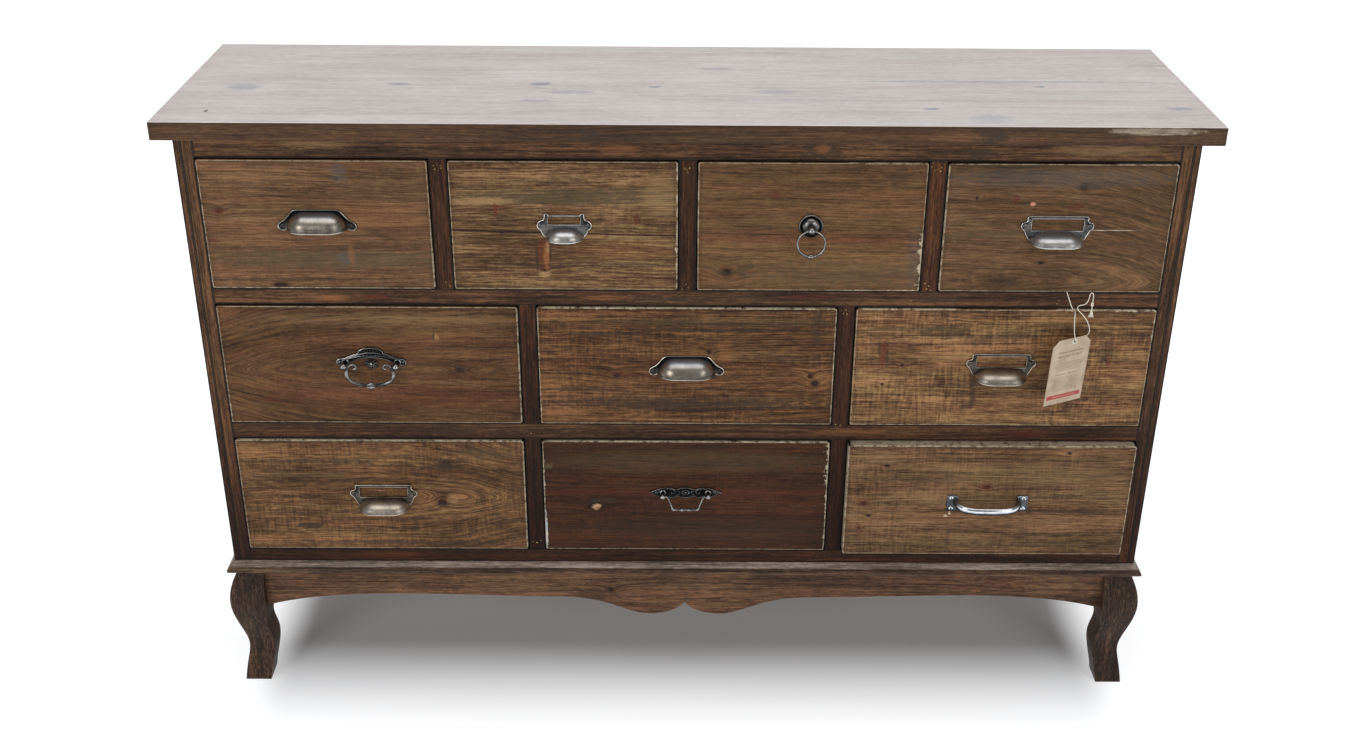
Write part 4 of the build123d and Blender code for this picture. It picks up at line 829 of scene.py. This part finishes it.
RIM = (
    (0, 0, 0.2), (0, 1.3, 0.5), (0.25, 1.9, 0.8), (0.8, 2.2, 0.85), (1.3, 2.0, 0.7), (1.8, 1.2, 0.15), (2.2, 0.9, 0.2))
WINDOW_RIM = ((0, 0.1, 0.1), (0, 1.4, 0.4), (0.3, 1.9, 0.75), (0.8, 1.9, 0.7), (1.2, 1.2, 0.15), (1.5, 0.9, 0.2))
SHOULDERED_FLANGE = (
    (0, 20.8), (10, 20.8), (20, 20.8), (25.5, 20.2), (29.5, 17.4), (33, 13), (37, 8.8), (41.2, 6), (44.6, 3.5),
    (45.8, 0), (44.6, -3.5), (41.4, -5.6), (37.5, -5.4), (34, -3.2), (18, -2.6), (0, -2.6))
LABEL_FRAME = (
    (0, 12.7), (16, 12.7), (31.5, 12.7), (34.6, 12.1), (35.8, 9.6), (35.6, 6.9), (37.2, 5.3), (40.4, 4.5),
    (42.1, 1.8), (42.1, -1.6), (40.6, -4.2), (38.4, -6), (37, -9), (34.8, -13), (31.4, -17.6), (16, -18.6),
    (0, -18.6))
EARED_FRAME = (
    (0, 13), (10, 13), (17.6, 13), (19, 14.2), (21, 14.9), (23.1, 13.8), (23.4, 10.2), (24.6, 7.4), (28.2, 5.7),
    (31.2, 2.6), (31.9, -1.2), (30.2, -4.6), (27.8, -6.4), (26.6, -9.6), (24, -13.4), (20.6, -15.8), (10, -15.8),
    (0, -15.8))


def cup_pull(number, kind, material, outline, cup, screw_right, turns, screw_radius=2.7, window=None):
    """A cup on a flange, perhaps below a frame for a label, with a screw on each side."""
    pull = Casting(f"drawer_{number}_{kind}_pull")
    pull.plate(mirrored(outline), RIM, window)
    pull.cup(*cup)
    for side, turn in zip(BOTH_SIDES, turns):
        pull.screw(side * screw_right, 0, 0.8, screw_radius, turn)
    finish_pull(pull, number, material)


for number in (1, 6):
    cup_pull(number, "cup", bronzed, SHOULDERED_FLANGE, (35, 13, 20, 20.5, -2), 40.2, (40, 75))
cup_pull(2, "label", pewter, EARED_FRAME, (21.4, 3, 13.2, 17, -15.5, 1), 27.6, (60, 10), 2.3,
         rectangle(18.6, 6, 1.4, 6, 11))
for number, metal in ((4, pewter), (7, worn_pewter), (8, worn_pewter)):
    cup_pull(number, "label", metal, LABEL_FRAME, (32, 12, 13, 23, -18.5), 37.4, (20, 110),
             window=rectangle(30, 10, -5.2, 2, 9))

# Drawer 3: a turned rosette with a ball, and a beaded ring hanging through it
rosette = Casting("drawer_3_rosette")
rosette.turned([
    (14.2, 0, 0.3), (14.3, 1, 0.8), (13.8, 1.9, 1), (12.9, 2.3, 0.8), (12.2, 1.9, 0.3), (11.6, 1.3, 0),
    (11.1, 1.3, 0), (10.7, 2, 0.5), (10.3, 3, 0.8), (9.2, 4.5, 0.9), (7.4, 5.8, 0.9), (5.4, 6.6, 0.8),
    (3.9, 7, 0.4), (3.1, 7.4, 0.1), (3, 8.3, 0.1), (3.7, 8.9, 0.6), (4.1, 9.6, 0.8), (3.6, 10.3, 0.5),
    (2.9, 10.8, 0.1), (3, 11.4, 0.2), (4, 12.4, 0.7), (4.6, 13.9, 1), (4.7, 15.5, 1), (4.4, 17.3, 1),
    (3.4, 18.9, 1), (1.9, 19.9, 1), (0, 20.2, 1),
], 0, 0, steps=48)
finish_pull(rosette, 3, blackened)
# Thickness around the ring, by degrees from its lowest point
GIRTH = ((0, 3.1), (7, 2.9), (11, 2.1), (14, 1.6), (17, 2.3), (20, 2.2), (24, 1.5), (32, 1.6), (44, 1.8), (60, 1.4),
         (90, 1.2), (130, 1.2), (180, 1.2))
RING_RADIUS, RING_OUT = 16, 15.5
ring = Casting("drawer_3_swinging_ring")
ring.tube([
    (RING_RADIUS * sin(radians(a)), -RING_RADIUS - RING_RADIUS * cos(radians(a)), RING_OUT, size, size, 0.95)
    for a, size in (*GIRTH, *((360 - a, size) for a, size in reversed(GIRTH[1:-1])))
], closed=True, steps=5)
finish_pull(ring, 3, blackened, "ring")


def ball_posts(pull, right, reach, radius, collar):
    """On each side a post with a ball head, standing on a small collar."""
    for side in BOTH_SIDES:
        pull.turned([
            (collar + 1.6, 0.6, 0.2), (collar + 1.5, 1.8, 0.8), (collar + 0.6, 2.6, 0.9), (collar - 0.2, 2.8, 0.2),
            (collar - 0.5, 3.4, 0.2), (collar - 0.9, 5, 0.5), (collar - 0.9, reach - radius - 0.6, 0.4),
            (collar - 0.2, reach - radius * 0.92, 0.8), (radius * 0.78, reach - radius * 0.62, 0.9),
            (radius * 0.97, reach - radius * 0.25, 1), (radius, reach, 1), (radius * 0.92, reach + radius * 0.4, 1),
            (radius * 0.7, reach + radius * 0.71, 1), (radius * 0.38, reach + radius * 0.92, 1),
            (0, reach + radius, 1),
        ], side * right, 0, steps=28)


# Drawer 5: a crested plate with scrolls and a flower, and a heavy leaf-shaped bail through its ball posts
BAIL_OUT = 14
pull = Casting("drawer_5_crested_plate")
pull.plate(mirrored((
    (0, 19.4), (6, 19), (11, 17.8), (14.4, 15.2), (15.6, 12.6), (19, 11.4), (25, 8.9), (30.5, 6.5), (35, 5),
    (39, 4.8), (41.8, 2.4), (42.2, -1), (40.4, -4), (37, -4.9), (34, -4), (31.5, -4.6), (28.4, -3.8), (25, -0.8),
    (20.6, 1.7), (14, 3.8), (7, 5), (0, 5.4),
)), ((0, 0, 0.2), (0, 1.4, 0.6), (0.3, 2.1, 1), (0.9, 2.3, 1), (1.4, 1.9, 0.6), (1.8, 1.1, 0), (2.1, 0.9, 0)))
for rise, size in ((0, 1.0), (-4.6, 0.7)):
    pull.tube(from_side_to_side([
        (x, z + rise * (1 - x / 34), 1.2, size, size, 0.85)
        for x, z in ((31, 3.4), (24, 6.6), (16, 9.6), (8, 11.7), (0, 12.4))]), steps=4, sides=8)
for k in range(-5, 6):
    x = k * 4.4
    pull.ball(x, 9.6 - abs(x) ** 1.6 / 32, 1.1, 0.9, 0.6, (1.3, 0.8, 0.7), turn=-0.02 * x + 0.7 * (-1) ** k)
for k in range(-3, 4):
    pull.ball(k * 3.6, 15.7 - abs(k) * 0.5, 1.2, 1.5, 0.6, (0.6, 1.25, 0.7), turn=-0.16 * k)
pull.balls(38.2, 0, 1.3, 2.1, 0.8, (1, 1, 0.8))
pull.wires(((35.4, 3), (37.8, 3.4), (40.4, 1.8), (40.5, -1.4), (38.4, -3.2), (36, -2.8)), 1.4, 0.8, 0.8)
ball_posts(pull, 31.5, BAIL_OUT, 4.2, 3)
pull.ball(0, -1.4, 3, 2.2, 1)
for angle, length in ((-90, 4.6), (-58, 4.4), (-122, 4.4), (-28, 4.6), (-152, 4.6), (8, 4.4), (172, 4.4), (48, 3),
                      (132, 3)):
    a = radians(angle)
    pull.ball(5 * cos(a), -1.4 + 5 * sin(a) * 0.95, 2.2, 1.25, 0.75, (length / 1.7, 0.95, 1), turn=a)
pull.tube([(0, 6, 1.2, 1.2, 2, 0.3), (0, 3, 1.4, 1.1, 1.6, 0.4), (0, -1, 1.8, 1, 1.4, 0.4)], steps=3, sides=8)
finish_pull(pull, 5, blackened)

bail = Casting("drawer_5_swinging_bail")
bail.tube(from_side_to_side([(x, z, BAIL_OUT, 1.9, size, worn) for x, z, size, worn in (
    (34.5, 0, 1.6, 0.7), (30, 0, 1.6, 0.7), (27, -0.6, 1.7, 0.6), (26.4, -3.6, 1.8, 0.7), (27.9, -7.4, 2.3, 0.9),
    (28.3, -11.4, 2.5, 0.95), (26.9, -15.4, 2.1, 0.8), (23.9, -19.0, 2.2, 0.9), (19.2, -22, 2.5, 0.95),
    (13.4, -23.8, 2.1, 0.8), (7.4, -24.8, 1.8, 0.6), (3.4, -24.6, 2.2, 0.8), (0, -23.6, 2.4, 0.9))]), steps=5)
for side in BOTH_SIDES:
    bail.tube([(side * x, z, BAIL_OUT, size, size, 0.9) for x, z, size in (
        (26.6, -4.5, 1.4), (25.2, -0.4, 1.5), (21.8, 2.4, 1.5), (17.8, 1.9, 1.4), (16.2, -1.2, 1.3),
        (18, -3.4, 1.5))], steps=5, sides=12)
for x, z, *bead in (
    (18.6, -2.8, 1.9, 1), (29.4, -8.4, 2, 0.95, (0.8, 1.5, 1), 0.5),
    (12.2, -25.6, 1.5, 0.9, (2.4, 0.7, 1), -0.2), (3.3, -27.4, 1.7, 0.95, (1.5, 1, 1), 0.8),
):
    bail.balls(x, z, BAIL_OUT, *bead)
bail.ball(0, -27.6, BAIL_OUT, 2.6, 1, (0.95, 1.15, 0.9))
bail.ball(0, -23, BAIL_OUT, 1.7, 1, (1, 1.2, 1))
finish_pull(bail, 5, blackened, "bail")

# Drawer 9: a long scalloped plate with scrolls, and a thin bail with two beads through its ball posts
THIN_BAIL_OUT = 12
pull = Casting("drawer_9_scalloped_plate")
pull.plate(mirrored((
    (0, 7.6), (5, 7.2), (9, 5.8), (12, 5), (15, 5.8), (19, 7.3), (22.4, 7.2), (25, 6), (28.5, 6.9), (32, 6.2),
    (37, 4.3), (42, 2), (46, 0), (42, -2), (37, -4.3), (32, -6.2), (28.5, -6.7), (25, -5.6), (21, -6.6),
    (16.4, -7.4), (12, -5.8), (8.4, -5.4), (5, -6.9), (0, -7.5),
), steps=4), ((0, 0, 0.2), (0, 1.3, 0.6), (0.2, 1.9, 1), (0.7, 2.1, 1), (1.1, 1.7, 0.5), (1.4, 1.1, 0)))
for scroll, *form in (
    (((20.5, 4.4), (16.6, 4.8), (13.4, 2.4), (14, -0.8), (17, -1.4), (18.2, 0.8)), 1.3, 0.8, 0.75),
    (((20.6, -4.2), (15.6, -5), (10.4, -3.2), (7.4, -0.4), (8.4, 2.4), (11, 2.2)), 1.3, 0.8, 0.75),
    (((33, 3.2), (37, 1.8), (41.5, 0), (37, -1.8), (33, -3.2)), 1.2, 0.7, 0.7),
):
    pull.wires(scroll, *form)
pull.balls(36, 0, 1.2, 1.3, 0.8, (1.8, 0.7, 0.7))
ball_posts(pull, 28.5, THIN_BAIL_OUT, 3.5, 2.4)
pull.tube([(4.4 * cos(a), 3 * sin(a), 1.3, 0.8, 0.8, 0.8) for a in (tau * k / 10 for k in range(10))],
          closed=True, steps=3, sides=8)
pull.ball(0, 0, 1.4, 1.3, 0.9, (1.2, 0.8, 0.8))
finish_pull(pull, 9, blackened)

bail = Casting("drawer_9_swinging_bail")
bail.tube(from_side_to_side([(x, z, THIN_BAIL_OUT, size, size, 0.95) for x, z, size in (
    (31, 0, 1.1), (27, 0, 1.1), (23.8, -0.2, 1.3), (21.9, -2.4, 1.3), (20.4, -6, 1.1), (18.6, -11, 1.1),
    (17, -15.4, 1.2), (15.7, -18.3, 1.7), (13.4, -19.2, 1.5), (10.6, -19, 1.1), (8, -19, 1.1), (6.6, -19, 2),
    (4.6, -19, 2.7), (2.6, -19, 2), (1.4, -19, 1.1), (0, -19, 1.2))]), steps=5)
finish_pull(bail, 9, blackened, "bail")

# Drawer 10: a bowed grip between two flat plates with four cross-headed screws
pull = Casting("drawer_10_bow_handle")
for side in BOTH_SIDES:
    pull.plate([(side * x, z) for x, z in (
        (37.2, 11), (40, 11.2), (44, 11.2), (48, 11.2), (50.8, 11), (51, 6), (51, 0), (51, -6), (50.8, -11),
        (48, -11.2), (44, -11.2), (40, -11.2), (37.2, -11), (37, -6), (37, 0), (37, 6))],
        ((0, 0, 0.5), (0, 1.4, 0.9), (0.3, 1.8, 1), (0.8, 1.9, 0.8)))
    for up, turn in ((7.2, 20), (-7.2, 65)):
        pull.screw(side * 45.4, up, 1.8, 3, turn + side * 13, cross=True, worn=1.5)
pull.balls(39.6, 0.6, 1.6, 3.2, 0.8, (0.9, 2.1, 0.9))
pull.tube(from_side_to_side([
    (40.5, 1.6, 1.2, 6.2, 2.6, 0.8), (39.6, 1.2, 5, 5.6, 2.9, 0.9), (37.6, 0.6, 9.6, 5, 2.9, 1),
    (34, 0, 14, 4.7, 2.8, 1.2), (28.6, -0.3, 17.6, 4.6, 2.8, 1.3), (20, -0.6, 20, 4.6, 2.8, 1.3),
    (10, -0.7, 20.9, 4.7, 2.8, 1.3), (0, -0.7, 21.1, 4.7, 2.8, 1.3)]), reference=(0, 1, 0), sides=24)
finish_pull(pull, 10, zinc, slot="bright_metal")

# Swing tag on drawer 7, hung by a string from the top edge of the drawer front
TAG_RIGHT = 82 * MM
low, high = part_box("drawer_7_front")
HANG = Vector(((low[0] + high[0]) / 2 + TAG_RIGHT, low[1], high[2]))
STRING_DIAMETER = MM
STRING = (
    (-1.5, 0.56, -5), (-1.8, 1, 5), (-2.7, -8.6, 9), (-2.9, -17.2, 13.6), (-3, -25.2, 18.8), (0.3, -33.3, 18.4),
    (-2, -33.4, 13.2), (1.6, -34.6, 9.6), (8.6, -35.6, 6.6), (15.6, -33, 4.4), (18.3, -26.2, 5), (16.6, -18.6, 6.8),
    (12.8, -10.6, 7.6), (7.4, -3.8, 7.2), (2, 1.6, 7.2), (-1, 5.2, 6.4), (1.9, 8.2, 4.7), (8.4, 9.4, 6.1),
    (11.5, 15.4, 6.8), (12.3, 21.5, 6.6), (13.2, 25, 6.4), (16.4, 24.6, 6.2), (17, 19, 6.3), (16.5, 11.5, 6.6),
    (16.6, 4, 6.7), (18, -3.2, 6.5),
)
STRING_END = ((-3.6, 0.56, -2.2), (-4.6, 1.6, 4.6), (-8, 8, 6), (-11.7, 16.8, 6.6), (-15, 25.4, 6.1))


def from_edge(right, up, out):
    """A point given in millimetres to the right of, above and out from where the tag hangs."""
    return HANG + Vector((right, -out, up)) * MM


def string_look():
    """Twisted cotton, off-white, with the strands' shadows between them."""
    shader = Shader("string")
    x, y, z = shader.millimetres()
    twist = ((x + y + z) * 5.2).math("SINE")
    shade = twist.line(0.22, 0.5) + (shader.noise(x * 3, y * 3, z * 3, 3.0) - 0.5) * 0.8
    return shader.finish(
        Base_Color=shader.ramp(shade, (0.0, (176, 160, 138)), (0.4, (226, 214, 194)), (1.0, (250, 244, 232))),
        Roughness=0.9, Sheen_Weight=0.3, Normal=shader.bump(shade, 0.0001))


# The card of the swing tag and its eyelet, in the card's own plane
TURN, TILT = radians(25), radians(3.3)
CARD_CENTRE = from_edge(-0.8, -33.4, 15.9)
CARD_RIGHT = Vector((cos(TURN), sin(TURN), 0))
CARD_OUT = Vector((sin(TURN) * cos(TILT), -cos(TURN) * cos(TILT), -sin(TILT)))
CARD_UP = CARD_OUT.cross(CARD_RIGHT)
LEFT, RIGHT, BOTTOM = -31.1, 23.9, -84.2
EYELET = 3.25
# Blocks of ruled lines: top, bottom, pitch, thickness, half width and depth of the ink
RULED_BLOCKS = (
    (-11.5, -22.5, 5.4, 2.6, 17.5, 0.5), (-27, -38, 2.5, 1.0, 18.5, 0.42), (-42.5, -46, 3.2, 1.3, 17.5, 0.6),
    (-47.5, -67, 2.5, 1.0, 18.0, 0.45), (-79.2, -82, 2.5, 1.0, 20.0, 0.35))


def card_look():
    """Buff card with faint fibres, soiled edges, ruled lines and one red band."""
    shader = Shader("tag_print")
    offset = [axis - start / MM for axis, start in zip(shader.millimetres(), CARD_CENTRE)]
    x, y, out = (sum(part * share for part, share in zip(offset, direction))
                 for direction in (CARD_RIGHT, CARD_UP, CARD_OUT))
    fibres = shader.noise(x * 0.9, y * 0.9, 0.0, 5.0, 0.7)
    blotches = shader.noise(x * 0.06, y * 0.06, 4.0)
    colour = shader.ramp(
        fibres * 0.5 + blotches * 0.5, (0.3, (150, 131, 110)), (0.5, (180, 161, 138)), (0.7, (197, 180, 158)))

    def within(value, low, high, soft=0.25):
        return value.rise(low - soft, low + soft) * value.rise(high + soft, high - soft)

    broken = shader.noise(x * 1.1, (y * 0.4).math("FLOOR") * 7.3, 0.0, 1.0).rise(0.36, 0.46)
    aside = abs(x + 3.6)
    for top, bottom, pitch, thickness, half_width, depth in RULED_BLOCKS:
        row = ((top - y) / pitch).math("FRACT")
        ink = within(row, 0.0, thickness / pitch, 0.12) * within(y, bottom, top) * broken
        shown = ink * aside.rise(half_width + 0.5, half_width - 0.5) * depth
        colour = shader.mix(shown, colour, tone(64, 52, 44))
    band = within(y, -77.0, -71.3) * within(x, -28.4, 20.6)
    colour = shader.mix(band * fibres.rise(0.62, 0.4).line(0.2, 0.75), colour, tone(158, 40, 48))
    rule = within(y, -74.7, -73.9, 0.12) * within(x, -20, 13) * broken
    colour = shader.mix(rule * band * 0.6, colour, tone(214, 180, 168))
    rim = (x - LEFT).least(RIGHT - x).rise(1.6, 0.1)
    foot = y.rise(BOTTOM + 1.6, BOTTOM + 0.1)
    colour = shader.mix(rim.most(foot) * 0.35, colour, tone(128, 104, 80))
    colour = shader.mix(out.rise(-0.1, 0.1), tone(170, 148, 122), colour)
    from_hole = x.line(x, y * y).math("SQRT")
    eyelet = from_hole.rise(EYELET + 0.05, EYELET - 0.05)
    metal = shader.mix(from_hole.rise(1.9, 2.6), tone(96, 92, 86), tone(206, 202, 194))
    return shader.finish(
        Base_Color=shader.mix(eyelet, colour, metal), Metallic=eyelet, Roughness=eyelet.line(-0.45, 0.75),
        Specular_IOR_Level=0.2, Normal=shader.bump(fibres, 0.00008))


assign("tag_card", card_look())
string_material = string_look()
tassel_points, tassel_faces = [], []


def fibre(path, radii):
    """Adds one tapered strand to the tassel."""
    sides = 6
    first = len(tassel_points)
    for index, (place, radius) in enumerate(zip(path, radii)):
        before, after = path[max(index - 1, 0)], path[min(index + 1, len(path) - 1)]
        turn = (after - before).normalized().to_track_quat("Z", "Y")
        for a in (tau * i / sides for i in range(sides)):
            tassel_points.append(place + turn @ (Vector((cos(a), sin(a), 0)) * radius) * MM)
    last = len(tassel_points) - sides
    for row in range(first, last, sides):
        for i in range(sides):
            j = (i + 1) % sides
            tassel_faces.append((row + i, row + j, row + sides + j, row + sides + i))
    tassel_faces.append(tuple(reversed(range(first, first + sides))))
    tassel_faces.append(tuple(range(last, last + sides)))


# The knot: three turns of string round itself, (right, out) from one middle
KNOT_RIGHT, KNOT_OUT, KNOT_REACH, KNOT_RADIUS, KNOT_TURN = 16.5, 6.6, 1.15, 0.62, 12
for level, lean in ((11.8, 0.5), (10.2, -0.4), (8.7, 0.3)):
    angles = [tau * k / KNOT_TURN for k in range(KNOT_TURN + 1)]
    fibre([from_edge(KNOT_RIGHT + KNOT_REACH * cos(a), level + lean * sin(a), KNOT_OUT + KNOT_REACH * sin(a))
           for a in angles], [KNOT_RADIUS] * len(angles))
# The frayed end below it
for k in range(11):
    side, depth = (k - 5) / 5, sin(k * 2.4)
    fibre([from_edge(
        16.7 + side * 3.1 * share ** 1.6 + 0.3 * sin(k * 1.7 + share * 5), 5.0 - (11.5 + 1.6 * sin(k * 3.1)) * share,
        KNOT_OUT + depth * 1.3 * share) for share in (0.0, 0.25, 0.5, 0.75, 1.0)], (0.5, 0.46, 0.42, 0.36, 0.16))
tassel_mesh = bpy.data.meshes.new("tag_string_tassel")
tassel_mesh.from_pydata(tassel_points, [], tassel_faces)
for polygon in tassel_mesh.polygons:
    polygon.use_smooth = True
tassel = add_piece("tag_string_tassel", tassel_mesh, string_material, "drawer_7", "string")


def strand(name, points):
    """A string along the frame's own points."""
    curve = bpy.data.curves.new(name, "CURVE")
    curve.dimensions = "3D"
    curve.bevel_depth = STRING_DIAMETER / 2
    curve.bevel_resolution = 3
    curve.resolution_u = 16
    spline = curve.splines.new("NURBS")
    spline.points.add(len(points) - 1)
    for control, point in zip(spline.points, points):
        control.co = (*from_edge(*point), 1.0)
    spline.order_u = 3
    spline.use_endpoint_u = True
    cord = add_piece(name, curve, string_material, "drawer_7", "string", "tag_string")


strand("tag_string_main", STRING)
strand("tag_string_end", STRING_END)

# Studio: a floor of pale paper that glows and fades to white away from the chest, a painted light that leaves a
# painted shadow round the chest, and soft lights
FLOOR_REACH = 12.0
SHADOW_HALF_WIDTH, SHADOW_HALF_DEPTH, SIDEWAYS_FADE = 0.52, 0.05, 2.75
paper = Shader("floor_paper")
x, y, z = paper.split(paper.point)
beside = abs(x).line(SIDEWAYS_FADE, -SHADOW_HALF_WIDTH * SIDEWAYS_FADE).most(0.0)
before = (abs(y) - SHADOW_HALF_DEPTH).most(0.0)
from_chest = (beside * beside + before * before).math("SQRT")
floor_mesh = bpy.data.meshes.new("floor")
floor_mesh.from_pydata(
    [(FLOOR_REACH * right, FLOOR_REACH * back, 0) for right, back in ((-1, -1), (1, -1), (1, 1), (-1, 1))],
    [], [(0, 1, 2, 3)])
# Painted light and shadow: the floor glows hardly at all right round the chest and more and more away from it
floor_mesh.materials.append(paper.finish(
    Base_Color=(0.56, 0.58, 0.61, 1.0), Roughness=0.9, Specular_IOR_Level=0.1, Emission_Color=(1.0, 1.0, 1.0, 1.0),
    Emission_Strength=from_chest.rise(-0.02, 0.22) * 0.72 + from_chest.rise(0.0, 2.2) * 0.25))
link("floor", floor_mesh)

for name, place, target, width, height, power in (
    ("overhead", (0, -0.5, 3.6), (0, 0, 0), 4.0, 3.0, 52),
    ("left", (-2.2, -3.0, 1.5), (0, 0, 0.5), 1.5, 1.6, 33),
    ("right", (2.2, -3.0, 1.5), (0, 0, 0.5), 1.5, 1.6, 28),
    ("behind", (0, 2.8, 1.3), (0, 0, 0.6), 5.5, 2.0, 14),
):
    light = bpy.data.lights.new(name, "AREA")
    light.shape = "RECTANGLE"
    light.size, light.size_y, light.energy = width, height, power
    lamp = link(name, light)
    lamp.location = place
    lamp.rotation_euler = (Vector(target) - Vector(place)).to_track_quat("-Z", "Y").to_euler()

world = bpy.data.worlds.new("studio")
world.use_nodes = True
background = world.node_tree.nodes["Background"].inputs
background["Color"].default_value = (1, 1, 1, 1)
background["Strength"].default_value = 0.24
bpy.context.scene.world = world
bpy.context.scene.view_settings.view_transform = "Standard"

# Camera, placed by the chest's own corners in the photograph
camera_data = bpy.data.cameras.new("camera")
camera_data.sensor_width = SENSOR_WIDTH
camera_data.lens = FOCAL_PIXELS / IMAGE_WIDTH * SENSOR_WIDTH
camera = link("camera", camera_data)
yaw, pitch, roll = radians(0.346), radians(27.174), radians(0.420)
forward = Vector((sin(yaw) * cos(pitch), cos(yaw) * cos(pitch), -sin(pitch)))
level = Vector((cos(yaw), -sin(yaw), 0))
upward = level.cross(forward)
right = cos(roll) * level + sin(roll) * upward
upright = -sin(roll) * level + cos(roll) * upward
camera.matrix_world = Matrix.Translation(CAMERA_PLACE) @ Matrix(
    (right, upright, -forward)).transposed().to_4x4()
bpy.context.scene.camera = camera
